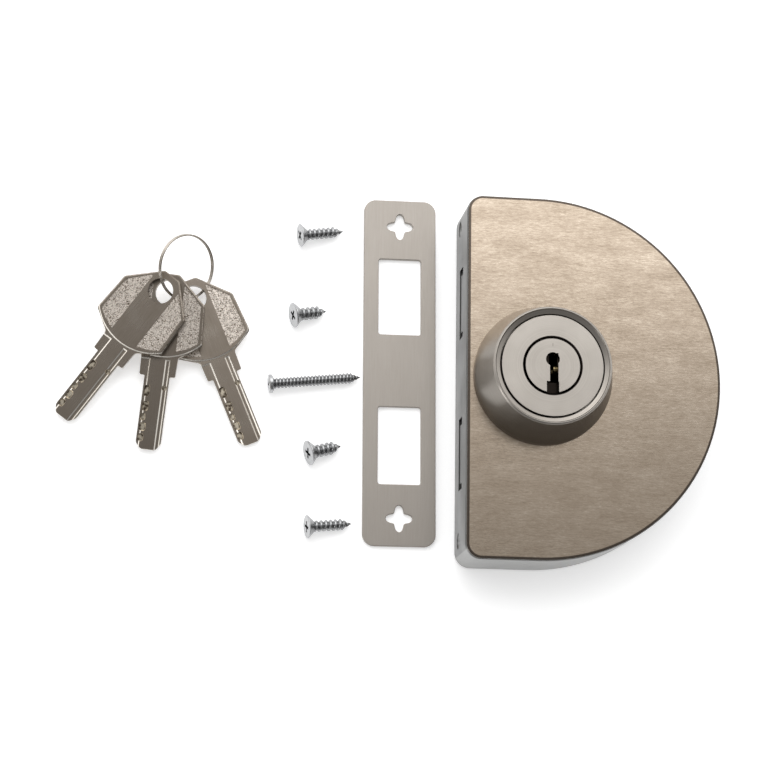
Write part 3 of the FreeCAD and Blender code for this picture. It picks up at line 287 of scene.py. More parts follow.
finishes = {
    "cover": brushed("brushedChampagne", {
        "longLines": (420, 2600, 2600), "fineLines": (1150, 5600, 5600), "cloud": (70, 200, 200),
        "stops": [(0.34, (0.26, 0.205, 0.152)), (0.46, (0.335, 0.272, 0.21)), (0.55, (0.40, 0.332, 0.262)),
                  (0.68, (0.52, 0.447, 0.365))],
        "roughness": (0.17, 0.25), "depth": 0.00001, "strength": 0.7,
        # the rim entry paints a dark line of shade along the cover's broken edge
        "rim": {"arcMiddle": -0.9, "arcRadius": 63.3, "flat": -26.0, "corner": 5.1, "width": 0.85,
                "soft": 0.08, "shade": 0.92, "colour": (0.05, 0.04, 0.033)}}),
    "strike": brushed("brushedStrike", {
        "longLines": (3200, 70, 3200), "fineLines": (5200, 200, 5200), "cloud": (120, 30, 120),
        "stops": [(0.30, (0.323, 0.294, 0.264)), (0.50, (0.342, 0.313, 0.282)),
                  (0.70, (0.361, 0.332, 0.301))],
        "roughness": (0.34, 0.42), "depth": 0.000004, "strength": 0.15}),
    "case": castBody("satinGrey", {
        "grain": 2600.0, "cloud": 60.0, "stops": [(0.30, (0.25, 0.25, 0.243)), (0.70, (0.32, 0.32, 0.313))],
        "roughness": (0.28, 0.38), "depth": 0.000012, "strength": 0.35,
        # the edge, band and hole entries paint shade; the last number of edge, bandTop, holeRadius and
        # holeDepth is the softness of the sides
        "edge": (-25.9, 0.05), "edgeShade": 0.5, "edgeColour": (0.03, 0.03, 0.03),
        "bandTop": (16.8, 0.12), "bandShade": 0.12, "holeAt": 55.5, "holeHeight": 9.7,
        "holeRadius": (2.15, 0.06), "holeDepth": (-27.3, 0.0, 0.1), "holeColour": (0.01, 0.01, 0.01)}),
    "nickel": turned("turnedNickel", {
        "rings": 2.6, "cloud": 70.0,
        "stops": [(0.30, (0.27, 0.247, 0.219)), (0.50, (0.316, 0.29, 0.26)), (0.70, (0.362, 0.334, 0.302))],
        "roughness": (0.27, 0.38), "depth": 0.000012, "strength": 0.3}),
    "face": turned("turnedFace", {
        "rings": 2.6, "cloud": 70.0,
        "stops": [(0.30, (0.35, 0.322, 0.288)), (0.50, (0.405, 0.374, 0.338)), (0.70, (0.46, 0.427, 0.388))],
        "roughness": (0.27, 0.38), "depth": 0.000012, "strength": 0.3,
        # the groove, the sides below the face and the mark get painted shade; the last number of groove, mark
        # and markHalf is the softness of the sides
        "paintedShade": {"groove": (9.38, 10.22, 0.12), "faceStep": (42.1, 42.5), "mark": (6.6, 7.7, 0.05),
                 "markHalf": (0.07, 0.03), "markShade": 0.7, "colour": (0.015, 0.012, 0.010)}}),
    "steel": plain("plainSteel", {
        "metallic": 1.0, "grain": 1800.0, "cloud": 90.0,
        "stops": [(0.30, (0.40, 0.40, 0.40)), (0.70, (0.58, 0.58, 0.58))],
        "roughness": (0.28, 0.42), "depth": 0.00002, "strength": 0.4}),
    "darkSteel": plain("blackenedSteel", {
        "metallic": 1.0, "grain": 1500.0, "cloud": 120.0,
        "stops": [(0.30, (0.17, 0.17, 0.18)), (0.70, (0.30, 0.30, 0.31))],
        "roughness": (0.34, 0.5), "depth": 0.00002, "strength": 0.4}),
    "ringWire": plain("nickelWire", {
        "metallic": 1.0, "grain": 1200.0, "cloud": 200.0,
        "stops": [(0.30, (0.30, 0.265, 0.225)), (0.70, (0.50, 0.465, 0.42))],
        "roughness": (0.12, 0.22), "depth": 0.00001, "strength": 0.3}),
    "brass": plain("pinBrass", {
        "metallic": 1.0, "grain": 2000.0, "cloud": 160.0,
        "stops": [(0.30, (0.66, 0.50, 0.24)), (0.70, (0.82, 0.66, 0.36))],
        "roughness": (0.24, 0.36), "depth": 0.00001, "strength": 0.3}),
    "rubber": plain("padRubber", {
        "metallic": 0.0, "grain": 3500.0, "cloud": 80.0,
        "stops": [(0.30, (0.025, 0.025, 0.027)), (0.70, (0.055, 0.055, 0.058))],
        "roughness": (0.7, 0.85), "depth": 0.00006, "strength": 0.6}),
}
print("finishes made")


def metres(place):
    return Vector([value * mm for value in place])


def meshOf(bm, name):
    mesh = bpy.data.meshes.new(name)
    bm.to_mesh(mesh)
    bm.free()
    return mesh


def cleanCopy(node, flatAngle=0.6):
    # a node's mesh with its loose triangles joined and its flat faces merged
    bm = bmesh.new()
    bm.from_mesh(nodes[node].data)
    bmesh.ops.remove_doubles(bm, verts=bm.verts, dist=mergeDistance)
    bmesh.ops.dissolve_limit(bm, angle_limit=math.radians(flatAngle), verts=bm.verts, edges=bm.edges)
    bmesh.ops.recalc_face_normals(bm, faces=bm.faces)
    mesh = bpy.data.meshes.new(node + "Copy")
    indexes = {vertex: i for i, vertex in enumerate(bm.verts)}
    mesh.from_pydata([tuple(vertex.co) for vertex in bm.verts], [],
                     [[indexes[vertex] for vertex in face.verts] for face in bm.faces])
    bm.free()
    return mesh


def frozen(piece):
    # the piece's mesh with its modifiers applied
    depsgraph = bpy.context.evaluated_depsgraph_get()
    mesh = bpy.data.meshes.new_from_object(piece.evaluated_get(depsgraph), depsgraph=depsgraph)
    bpy.data.objects.remove(piece)
    return mesh


def temporary(mesh):
    piece = bpy.data.objects.new("working", mesh)
    collection.objects.link(piece)
    return piece


def broken(mesh, width, angle=32.0, segments=2):
    # the same mesh with its sharp edges rounded
    piece = temporary(mesh)
    edges = piece.modifiers.new("brokenEdges", "BEVEL")
    edges.width = width * mm
    edges.segments = segments
    edges.limit_method = "ANGLE"
    edges.angle_limit = math.radians(angle)
    edges.use_clamp_overlap = True
    edges.miter_outer = "MITER_ARC"
    return frozen(piece)


def carved(mesh, cutters):
    for cutter in cutters:
        piece = temporary(mesh)
        tool = temporary(cutter)
        change = piece.modifiers.new("carve", "BOOLEAN")
        change.operation = "DIFFERENCE"
        change.solver = "EXACT"
        change.object = tool
        mesh = frozen(piece)
        bpy.data.objects.remove(tool)
    return mesh


def smoothed(mesh, angle):
    for face in mesh.polygons:
        face.use_smooth = True
    mesh.set_sharp_from_angle(angle=math.radians(angle))
    return mesh


def settled(mesh):
    # shading normals that keep the flat faces flat between rounded edges
    piece = temporary(mesh)
    weighting = piece.modifiers.new("weighting", "WEIGHTED_NORMAL")
    weighting.mode = "FACE_AREA"
    weighting.weight = 80
    weighting.keep_sharp = True
    return frozen(piece)


def finished(name, mesh, finish, node, angle=40.0):
    # a finished piece that stands for a node and moves with its body
    mesh = settled(smoothed(mesh, angle))
    mesh.materials.clear()
    mesh.materials.append(finish)
    piece = bpy.data.objects.new(name, mesh)
    collection.objects.link(piece)
    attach(piece, bodyOf[node])
    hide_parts(node)


def softened(name, node, finish, width, segments=2):
    # a node's own shape with its sharp edges rounded
    finished(name, broken(cleanCopy(node), width, segments=segments), finishes[finish], node)


def coated(node, finish):
    # a node that keeps its own mesh
    nodes[node].data.materials.clear()
    nodes[node].data.materials.append(finishes[finish])


def placed(mesh, place, turn, spin=0.0):
    # the mesh moved to its place in the frame, after a spin about its own Z axis
    mesh.transform(Matrix.Translation(place) @ turn.to_matrix().to_4x4() @ Matrix.Rotation(spin, 4, "Z"))
    return mesh


def lathe(profile, steps=160):
    # a turned shell from its closed section of radius and height
    bm = bmesh.new()
    section = [bm.verts.new((radius * mm, 0, height * mm)) for radius, height in profile]
    edges = [bm.edges.new((section[i - 1], section[i])) for i in range(len(section))]
    bmesh.ops.spin(bm, geom=section + edges, cent=(0, 0, 0), axis=(0, 0, 1), angle=2 * math.pi, steps=steps,
                   use_duplicate=False)
    bmesh.ops.remove_doubles(bm, verts=bm.verts, dist=mergeDistance)
    bmesh.ops.recalc_face_normals(bm, faces=bm.faces)
    return meshOf(bm, "lathe")


def roundedLine(points, radius=0.0, steps=5):
    # a closed line with its corners rounded; each corner may name its own radius
    line = []
    count = len(points)
    for i, corner in enumerate(points):
        size = corner[2] if len(corner) > 2 else radius
        here = Vector(corner[:2])
        before = (Vector(points[i - 1][:2]) - here).normalized()
        after = (Vector(points[(i + 1) % count][:2]) - here).normalized()
        if size == 0 or abs(before.dot(after)) > 0.9999:
            line.append(tuple(here))
            continue
        half = math.acos(max(-1.0, min(1.0, before.dot(after)))) / 2
        reach = size / math.tan(half)
        centre = here + (before + after).normalized() * size / math.sin(half)
        start, end = here + before * reach - centre, here + after * reach - centre
        for k in range(steps + 1):
            spoke = (start * (1 - k / steps) + end * (k / steps)).normalized() * size
            line.append(tuple(centre + spoke))
    return line


def inward(outline, distance):
    # the outline moved in by a distance all round
    count = len(outline)
    area = sum(outline[i - 1][0] * outline[i][1] - outline[i][0] * outline[i - 1][1] for i in range(count))
    side = distance if area > 0 else -distance
    line = []
    for i in range(count):
        here = Vector(outline[i])
        before = (here - Vector(outline[i - 1])).normalized()
        after = (Vector(outline[(i + 1) % count]) - here).normalized()
        normals = Vector((-before.y, before.x)), Vector((-after.y, after.x))
        middle = normals[0] + normals[1]
        line.append(tuple(here + middle * (side / (1 + normals[0].dot(normals[1])))))
    return line


def slab(outline, bottom, top, inset=0.0):
    # an upright block from a flat outline, its bottom outline moved in by the inset
    bm = bmesh.new()
    lowLine = inward(outline, inset) if inset else outline
    low = [bm.verts.new((x * mm, y * mm, bottom * mm)) for x, y in lowLine]
    high = [bm.verts.new((x * mm, y * mm, top * mm)) for x, y in outline]
    bm.faces.new(low)
    bm.faces.new(high)
    for i in range(len(outline)):
        j = (i + 1) % len(outline)
        bm.faces.new((low[i], low[j], high[j], high[i]))
    bmesh.ops.recalc_face_normals(bm, faces=bm.faces)
    return meshOf(bm, "slab")


# Lock body, covers and cylinder.
softened("frontPlate", "front_cover", "cover", 0.22, segments=3)
softened("backPlate", "back_cover", "cover", 0.2)
coated("lock_body", "case")

collarSettings = {"bore": 16.7, "base": 24.0, "foot": 27.4, "bottom": 26.0, "rim": 20.3, "top": 43.4,
                  "chamfer": 0.5, "lip": 0.75, "mouth": 17.85, "mouthTop": 19.25, "mouthDrop": 0.45,
                  "mouthBottom": 42.35, "step": 37.8}


def collarMesh(settings):
    # each corner: radius, height and how far it is rounded
    bore, base, rim, top, mouth = [settings[name] for name in ("bore", "base", "rim", "top", "mouth")]
    return lathe(roundedLine([
        (bore, settings["bottom"], 0), (base, settings["bottom"], 0.15), (base, settings["foot"], 0.5),
        (rim, top - settings["chamfer"], 0.35), (rim - settings["chamfer"], top, 0.3),
        (rim - settings["lip"], top, 0.2), (settings["mouthTop"], top - settings["mouthDrop"], 0.2),
        (mouth, settings["mouthBottom"], 0.15), (mouth, settings["step"], 0), (bore, settings["step"], 0)]))


finished("collarShell", collarMesh(collarSettings), finishes["nickel"], "cylinder_collar")
softened("faceRing", "cylinder_housing", "face", 0.12)
softened("keyholePlug", "plug", "face", 0.12)
print("lock made")

# Strike plate.
strikeSettings = {"place": (-46.2, 5.35), "turn": 0.56, "width": 25.6, "length": 124.2, "thickness": 1.6,
                  "corner": 4.2, "cornerSteps": 8, "edge": 0.22, "opening": (15.1, 27.4), "openingAt": 26.7,
                  "openingCorner": 0.9, "holeAt": 52.4, "holeMean": 3.6, "holeLobe": 1.05, "lobes": 4,
                  "holeSteps": 96, "over": 1}


def strikeMesh(settings):
    def oblong(width, height, middle, corner):
        x, y = width / 2, height / 2
        return roundedLine([(x, middle - y), (x, middle + y), (-x, middle + y), (-x, middle - y)], corner,
                           settings["cornerSteps"])

    thickness, over = settings["thickness"], settings["over"]
    cutters = []
    for sign in (1, -1):
        opening = oblong(*settings["opening"], sign * settings["openingAt"], settings["openingCorner"])
        cutters.append(slab(opening, -over, thickness + over))
        hole = []
        for i in range(settings["holeSteps"]):
            angle = 2 * math.pi * i / settings["holeSteps"]
            reach = settings["holeMean"] + settings["holeLobe"] * math.cos(settings["lobes"] * angle)
            hole.append((reach * math.cos(angle), sign * settings["holeAt"] + reach * math.sin(angle)))
        cutters.append(slab(hole, -over, thickness + over))
    plate = slab(oblong(settings["width"], settings["length"], 0, settings["corner"]), 0, thickness)
    mesh = broken(carved(plate, cutters), settings["edge"], segments=3)
    return placed(mesh, metres((*settings["place"], 0)), Euler((0, 0, math.radians(settings["turn"]))))


finished("strikePlate", strikeMesh(strikeSettings), finishes["strike"], "strike_plate")
print("strike plate made")

# Keys, each made flat in its own frame: origin in the ring hole, +X to the tip, +Z out of a face.
keySettings = {
    "thickness": 2.2, "bladeThickness": 1.4, "corner": 1.5, "edge": 0.6, "cutEdge": 0.05, "cutAngle": 40,
    "hole": 4.4, "holeSteps": 64, "holeOver": 3.0, "bowOver": 1.0, "bladeOver": 1.2,
    "outline": [(-6.6, 3.2), (3.2, 13.2), (17.5, 14.0), (22.3, 6.4), (29.2, 6.2, 0.5), (29.2, 4.35, 0.5),
                (52.5, 4.35, 2.0), (54.8, 2.5, 1.5)],
    "tip": 54.8, "bladeHalf": 4.35,
    "arcMiddle": 3.0, "arcRadius": 19.2, "arcSpan": 50, "arcSteps": 24, "arcSlope": 0.45, "arcEnd": (70, 16),
    "panel": [(-3.4, 5.4), (3.6, 12.0), (16.7, 12.6), (18.6, 9.6), (20.4, 5.3)], "panelCorner": 0.3,
    "panelDepth": 0.22,
    # each groove: side, start, and how far its walls lie from the middle
    "grooves": ((1, 23.2, 2.1, 3.9), (-1, 23.2, 3.0, 8.0)), "grooveEnd": 60, "grooveDepth": 0.36,
    "grooveSlope": 0.5,
    # each pocket: start, length, width and middle
    "pockets": ((32.6, 4.0, 2.2, -2.9), (38.2, 3.4, 2.4, -2.7), (42.4, 2.6, 2.0, -3.1),
                (45.6, 3.0, 2.4, -2.8), (49.4, 2.8, 2.2, -3.0), (32.0, 2.2, 1.7, 3.0)),
    "pocketCorner": 0.75, "pocketDepth": 0.66, "pocketSlope": 0.35,
    "left": {"place": (-130.7, 27.9), "turn": -126.14, "tilt": 8.5, "roll": 4.22},
    "middle": {"place": (-127.98, 28.0), "turn": -95.37, "tilt": 6.09, "roll": 7.81},
    "right": {"place": (-119.05, 27.6), "turn": -66.43, "tilt": 2.39, "roll": 0.0},
}


def keyMesh(settings):
    top, bladeTop = settings["thickness"] / 2, settings["bladeThickness"] / 2
    step = (settings["thickness"] - settings["bladeThickness"]) / 2
    bowOver, bladeOver, holeOver = settings["bowOver"], settings["bladeOver"], settings["holeOver"]
    outline = settings["outline"] + [(x, -y, *radius) for x, y, *radius in reversed(settings["outline"])]
    body = broken(slab(roundedLine(outline, settings["corner"]), -top, top), settings["edge"], segments=1)

    def cutter(line, face, surface, depth, over, slope=0.0):
        # a block sunk into a face; its walls lean out by the slope from its floor to the surface
        reach = slope * (depth + over) / depth
        return slab(inward(line, slope - reach) if slope else line,
                    face * (surface - depth), face * (surface + over), reach)

    angles = [math.radians(-settings["arcSpan"] + 2 * settings["arcSpan"] * i / settings["arcSteps"])
              for i in range(settings["arcSteps"] + 1)]
    arc = [(settings["arcMiddle"] + settings["arcRadius"] * math.cos(angle),
            settings["arcRadius"] * math.sin(angle)) for angle in angles]
    bowCutters = [lathe([(0.0, -holeOver), (settings["hole"], -holeOver), (settings["hole"], holeOver),
                         (0.0, holeOver)], settings["holeSteps"])]
    endX, endY = settings["arcEnd"]
    bladeCutters = []
    for face in (1, -1):
        # the blade lies lower than the bow, whose lower edge is an arc
        bowCutters.append(cutter(arc + [(endX, endY), (endX, -endY)], face, top, step, bowOver,
                                 settings["arcSlope"]))
        for side in (1, -1):
            panel = [(x, side * y) for x, y in settings["panel"]][::side]
            bowCutters.append(cutter(roundedLine(panel, settings["panelCorner"], 2), face, top,
                                     settings["panelDepth"], bowOver))
        # long grooves beside the raised middle of the blade
        for side, start, near, far in settings["grooves"]:
            end = settings["grooveEnd"]
            groove = [(x, side * face * y) for x, y in ((start, near), (end, near), (end, far), (start, far))]
            bladeCutters.append(cutter(groove, face, bladeTop, settings["grooveDepth"], bladeOver,
                                       settings["grooveSlope"]))
        # milled pockets
        for start, length, width, middle in settings["pockets"]:
            low, high, end = face * middle - width / 2, face * middle + width / 2, start + length
            pocket = roundedLine([(start, low), (end, low), (end, high), (start, high)],
                                 settings["pocketCorner"], 4)
            bladeCutters.append(cutter(pocket, face, bladeTop, settings["pocketDepth"], bladeOver,
                                       settings["pocketSlope"]))
    return broken(carved(carved(body, bowCutters), bladeCutters), settings["cutEdge"], settings["cutAngle"],
                  segments=1)


def keyPlacement(spot):
    # a key rests on its tip, as high as its tilt and roll ask
    tilt, roll = math.radians(spot["tilt"]), math.radians(spot["roll"])
    edgeDrop = keySettings["thickness"] / 2 * math.cos(roll) + keySettings["bladeHalf"] * abs(math.sin(roll))
    height = keySettings["tip"] * math.sin(tilt) + math.cos(tilt) * edgeDrop
    return metres((*spot["place"], height)), Euler((roll, tilt, math.radians(spot["turn"])), "XYZ")


keyLook = {
    "nickel": [(0.30, (0.180, 0.152, 0.122)), (0.55, (0.236, 0.203, 0.169)), (0.75, (0.305, 0.268, 0.228))],
    "roughness": (0.24, 0.34), "lines": (160, 4200, 4200), "lineShare": 0.35, "cloud": 120.0,
    "veinScale": 1350.0, "veinHalf": (0.045, 0.02), "veinRelief": (0.00009, 0.6),
    # the pale stipple colour is partly painted highlight of the knobbly panels
    "lineRelief": (0.00001, 0.25), "stipplePale": (0.74, 0.67, 0.60), "stippleDark": (0.14, 0.110, 0.082),
    # the near-white wall colour is painted highlight on the sloping walls
    "bright": (0.93, 0.88, 0.80), "wallHighlightShare": 0.9,
    # the mill colours are partly painted shade and highlight in the pockets
    "millScale": 620.0, "mill": [(0.38, (0.07, 0.052, 0.036)), (0.60, (0.56, 0.50, 0.40))],
    # where each kind of place lies: from, to and the softness of its sides
    "panelSide": (5.2, 20, 0.05), "panelLength": (-6, 20.4, 0.1), "panelHeight": (0.82, 0.94, 0.02),
    "wallHeight": (0.38, 0.66, 0.02), "wallLength": (21, 60, 0.1),
    "arcReach": (19.15, 19.75, 0.05), "arcHeight": (0.73, 1.05, 0.02),
    "aboveMilled": (0.30, 2, 0.03), "milledLength": (31, 53.5, 0.2), "besideMilled": (4.25, 9, 0.05),
}


def keyFinish(name, centre, turn, look):
    # warm nickel: brushed middle band, knobbly side panels with partly painted highlights, painted highlights
    # on the groove walls, and milled pockets with painted shade and highlights
    finish = Finish(name, metal)
    place = finish.here(centre=centre, turn=turn)
    x, y, z = finish.millimetres(place)
    side, height = abs(y), abs(z)
    lines = finish.noise(finish.stretch(place, look["lines"]), detail=2, rough=0.6)
    cloud = finish.noise(place, look["cloud"], detail=3)
    tone = lines * look["lineShare"] + cloud * (1 - look["lineShare"])
    # fine veins on the floors of the bow's side panels; the pale tone between them is partly the knobbly
    # texture and partly its painted highlights
    veins = finish.noise(place, look["veinScale"], detail=1, rough=0.4, distortion=1.0)
    vein = abs(veins - 0.5).below(*look["veinHalf"])
    stipple = (side.between(*look["panelSide"]) * x.between(*look["panelLength"])
               * height.between(*look["panelHeight"]))
    pale = finish.mix(vein, rgb(look["stipplePale"]), rgb(look["stippleDark"]))
    colour = finish.mix(stipple, finish.ramp(tone, look["nickel"]), pale)
    # painted highlights on the sloping walls: those of the grooves, and the one along the arc
    grooveWall = height.between(*look["wallHeight"]) * x.between(*look["wallLength"])
    arcWall = (finish.length(x - keySettings["arcMiddle"], y).between(*look["arcReach"])
               * height.between(*look["arcHeight"]))
    colour = finish.mix(grooveWall.most(arcWall) * look["wallHighlightShare"], colour, rgb(look["bright"]))
    # the milled pockets show the cut metal in random dark brown and pale patches, partly painted shade and
    # highlights of their scooped floors
    milled = ((1.0 - height.between(*look["aboveMilled"])) * x.between(*look["milledLength"])
              * (1.0 - side.between(*look["besideMilled"])))
    milledToneAndShading = finish.ramp(finish.noise(place, look["millScale"], detail=1), look["mill"])
    finish.set("Base Color", finish.mix(milled, colour, milledToneAndShading))
    finish.set("Roughness", tone.span(*noiseSpan, *look["roughness"][::-1]))
    relief = finish.bump((1.0 - vein) * stipple, *look["veinRelief"])
    finish.set("Normal", finish.bump(lines, *look["lineRelief"], relief))
    return finish.material


for side in ("left", "middle", "right"):
    centre, turn = keyPlacement(keySettings[side])
    mesh = placed(keyMesh(keySettings), centre, turn)
    finish = keyFinish(side + "KeyNickel", centre, turn, keyLook)
    finished(side + "KeyCut", mesh, finish, "key_" + side, angle=24.0)
print("keys made")

# Split ring: a wire that goes round twice.
ringSettings = {"place": (-122.15, 37.3, 8.27), "lean": 38.8, "turn": -24.8, "radius": 11.24, "wire": 0.34,
                "step": 0.74, "splitAt": -66.0, "splitAngle": 30.0, "points": 260, "endEdge": 0.1}


def ringMesh(settings):
    split = math.radians(settings["splitAngle"])
    first = math.radians(settings["splitAt"]) + split / 2
    total = 2 * (2 * math.pi - split) + split
    radius = settings["radius"] * mm
    curve = bpy.data.curves.new("ringPath", "CURVE")
    curve.dimensions = "3D"
    spline = curve.splines.new("POLY")
    spline.points.add(settings["points"] - 1)
    for i, point in enumerate(spline.points):
        angle = total * i / (settings["points"] - 1)
        across = min(1.0, max(0.0, (angle - (2 * math.pi - split)) / split))
        height = settings["step"] * (across * across * (3 - 2 * across) - 0.5)
        point.co = (radius * math.cos(first + angle), radius * math.sin(first + angle), height * mm, 1)
    curve.bevel_depth = settings["wire"] * mm
    curve.bevel_resolution = 4
    curve.use_fill_caps = True
    mesh = broken(frozen(temporary(curve)), settings["endEdge"], angle=60)
    turn = Euler((0, math.radians(settings["lean"]), math.radians(settings["turn"])), "XYZ")
    return placed(mesh, metres(settings["place"]), turn)


finished("splitRingWire", ringMesh(ringSettings), finishes["ringWire"], "split_ring")
print("split ring made")

# Loose screws: the thread is a Geometry Nodes surface, the head is turned and has a cross recess.
# Each is made upright in its own frame: the top of its head at the origin, its point down.
screwKinds = {
    "sunk": {"head": 4.1, "edge": 0.4, "height": 2.6, "shank": 2.0, "root": 1.35, "length": 16.2,
             "point": 3.6, "pitch": 1.7},
    "short": {"head": 4.4, "edge": 0.5, "height": 2.8, "shank": 2.3, "root": 1.6, "length": 12.6,
              "point": 3.4, "pitch": 1.8},
    "long": {"head": 3.3, "edge": 1.2, "height": 2.0, "shank": 1.9, "root": 1.4, "length": 32.5, "point": 3.6,
             "pitch": 1.25},
}
screwSpots = {
    "topScrew": {"node": "countersunk_screw_top", "kind": "sunk", "place": (-82.6, 52.1), "turn": 10.7,
                 "spin": 20},
    "upperScrew": {"node": "short_screw_upper", "kind": "short", "place": (-84.4, 22.9), "turn": 13.0,
                   "spin": 35},
    "longScrew": {"node": "long_screw", "kind": "long", "place": (-92.2, -1.7), "turn": 7.1, "spin": 10},
    "lowerScrew": {"node": "short_screw_lower", "kind": "short", "place": (-78.1, -25.8), "turn": 16.7,
                   "spin": 50},
    "bottomScrew": {"node": "countersunk_screw_bottom", "kind": "sunk", "place": (-78.0, -51.4), "turn": 7.0,
                    "spin": 65},
}
screwDetail = {"crossWidth": 1.15, "crossReach": 2.1, "crossDepth": 1.5, "crossOver": 0.6, "crossTaper": 0.3,
               "crown": 0.35, "crownDrop": 0.2, "crownRound": 0.3, "rimRound": 0.1, "edgeRound": 0.12,
               "neck": 0.1, "neckRound": 0.3, "sleeve": 0.3, "headSteps": 72, "headEdge": 0.08,
               "headAngle": 40, "threadFrom": 0.7, "ridgeFoot": 0.12, "ridgeFlank": 0.55, "sides": 40,
               "ringsPerPitch": 14}
threadInputs = {"Length": "Float", "Crest": "Float", "Root": "Float", "Pitch": "Float", "Point": "Float",
                "Start": "Float", "Rings": "Int", "Sides": "Int", "Material": "Material"}


def threadTree():
    tree = bpy.data.node_groups.new("screwThread", "GeometryNodeTree")
    graph = Graph(tree)
    for name, kind in threadInputs.items():
        tree.interface.new_socket(name=name, in_out="INPUT", socket_type="NodeSocket" + kind)
    tree.interface.new_socket(name="Geometry", in_out="OUTPUT", socket_type="NodeSocketGeometry")
    start = graph.add("NodeGroupInput")
    length, crest, root, pitch, point, top, rings, sides, material = [
        start.output(i) for i in range(len(threadInputs))]
    # a flat grid is rolled up round the axis: x goes round it, y along it
    grid = graph.add("GeometryNodeMeshGrid", {}, {"Size X": 1.0, "Size Y": 1.0, "Vertices X": sides,
                                                  "Vertices Y": rings})
    x, y, z = graph.parts(graph.add("GeometryNodeInputPosition"))
    around, along = x + 0.5, 0.5 - y
    # 8 whole turns more keep the phase above zero
    phase = (along * length / pitch - around + 8.0).wave("FRACT")
    ridge = (1.0 - abs(phase * 2.0 - 1.0) - screwDetail["ridgeFoot"]) / screwDetail["ridgeFlank"]
    taper = ((1.0 - along) * length / point).least(1.0)
    radius = (root + (crest - root) * ridge.most(0.0).least(1.0)) * taper
    angle = around * (2 * math.pi)
    rolled = graph.add("ShaderNodeCombineXYZ", {}, {0: radius * angle.wave("COSINE"),
                                                    1: radius * angle.wave("SINE"),
                                                    2: 0.0 - top - along * length})
    shaped = graph.add("GeometryNodeSetPosition", {}, {"Geometry": grid, "Position": rolled})
    merged = graph.add("GeometryNodeMergeByDistance", {}, {"Geometry": shaped, "Distance": mergeDistance})
    realized = graph.add("GeometryNodeRealizeInstances", {}, {"Geometry": merged})
    coloured = graph.add("GeometryNodeSetMaterial", {}, {"Geometry": realized, "Material": material})
    graph.feed(tree.nodes.new("NodeGroupOutput").inputs[0], coloured)
    return tree


threads = threadTree()


def threadMesh(kind, finish):
    piece = temporary(bpy.data.meshes.new("thread"))
    maker = piece.modifiers.new("thread", "NODES")
    maker.node_group = threads
    start = kind["height"] * screwDetail["threadFrom"]
    length = kind["length"] - start
    values = {"Length": length * mm, "Crest": kind["shank"] * mm, "Root": kind["root"] * mm,
              "Pitch": kind["pitch"] * mm, "Point": kind["point"] * mm, "Start": start * mm,
              "Rings": int(length / kind["pitch"] * screwDetail["ringsPerPitch"]),
              "Sides": screwDetail["sides"] + 1, "Material": finish}
    for item in threads.interface.items_tree:
        if item.item_type == "SOCKET" and item.in_out == "INPUT":
            maker[item.identifier] = values[item.name]
    bm = bmesh.new()
    bm.from_mesh(frozen(piece))
    bmesh.ops.holes_fill(bm, edges=[edge for edge in bm.edges if edge.is_boundary], sides=0)
    bmesh.ops.recalc_face_normals(bm, faces=bm.faces)
    return meshOf(bm, "thread")


def crossCutter(detail):
    reach, half = detail["crossReach"], detail["crossWidth"] / 2
    quarter = [(reach, -half), (reach, half), (half, half)]
    cross = []
    for cos, sin in ((1, 0), (0, 1), (-1, 0), (0, -1)):
        cross += [(x * cos - y * sin, x * sin + y * cos) for x, y in quarter]
    return slab(cross, -detail["crossDepth"], detail["crossOver"], detail["crossTaper"])


def headMesh(kind, detail):
    sleeve = -kind["height"] - detail["sleeve"]
    profile = [(0, 0), (kind["head"] - detail["crown"], 0, detail["crownRound"]),
               (kind["head"], -detail["crownDrop"], detail["rimRound"]),
               (kind["head"], -kind["edge"], detail["edgeRound"]),
               (kind["shank"] - detail["neck"], -kind["height"], detail["neckRound"]),
               (kind["root"], sleeve), (0, sleeve)]
    head = lathe(roundedLine(profile, steps=4), detail["headSteps"])
    return broken(carved(head, [crossCutter(detail)]), detail["headEdge"], detail["headAngle"])


def joined(meshes):
    bm = bmesh.new()
    for mesh in meshes:
        bm.from_mesh(mesh)
    return meshOf(bm, "joined")


screwLook = {
    "zinc": [(0.30, (0.36, 0.363, 0.37)), (0.70, (0.49, 0.494, 0.50))], "grain": 1400.0,
    # the root, under-head and recess colours are painted shade
    "roughness": (0.18, 0.3), "root": (0.13, 0.13, 0.132), "rootShade": 0.75,
    "underHead": (0.10, 0.10, 0.10), "underHeadShade": 0.45, "recess": (0.03, 0.03, 0.03), "recessShade": 0.9,
    "relief": (0.00002, 0.3), "soft": 0.05, "headUp": 0.15, "coneFrom": 1.1, "recessOver": 0.1,
    "recessHeight": (-1.7, -0.14, 0.04), "rise": (0.05, 0.75, 0.0, 0.72),
}


def screwFinish(name, kind, centre, turn, look):
    # zinc plate with painted shade: dark thread roots, a darker cone under the head and a dark cross recess
    finish = Finish(name, metal)
    x, y, z = finish.millimetres(finish.here(centre, turn))
    radius = finish.length(x, y)
    grain = finish.noise(finish.here(), look["grain"], detail=3, rough=0.6)
    headBottom = -(kind["height"] - look["headUp"])
    thinned = ((z + kind["length"]) / kind["point"]).least(1.0)  # the point's roots lie nearer to the axis
    rise = (radius - kind["root"] * thinned) / (kind["shank"] - kind["root"])
    root = z.below(headBottom, look["soft"]) * (1.0 - rise.span(*look["rise"]))
    recess = (radius.below(screwDetail["crossReach"] + look["recessOver"], look["soft"])
              * z.between(*look["recessHeight"]))
    underHead = z.between(headBottom, -kind["edge"] * look["coneFrom"], look["soft"]) * (1.0 - recess)
    colour = finish.mix(root * look["rootShade"], finish.ramp(grain, look["zinc"]), rgb(look["root"]))
    colour = finish.mix(underHead * look["underHeadShade"], colour, rgb(look["underHead"]))
    finish.set("Base Color", finish.mix(recess * look["recessShade"], colour, rgb(look["recess"])))
    finish.set("Roughness", grain.span(*noiseSpan, *look["roughness"]))
    finish.set("Normal", finish.bump(grain, *look["relief"]))
    return finish.material


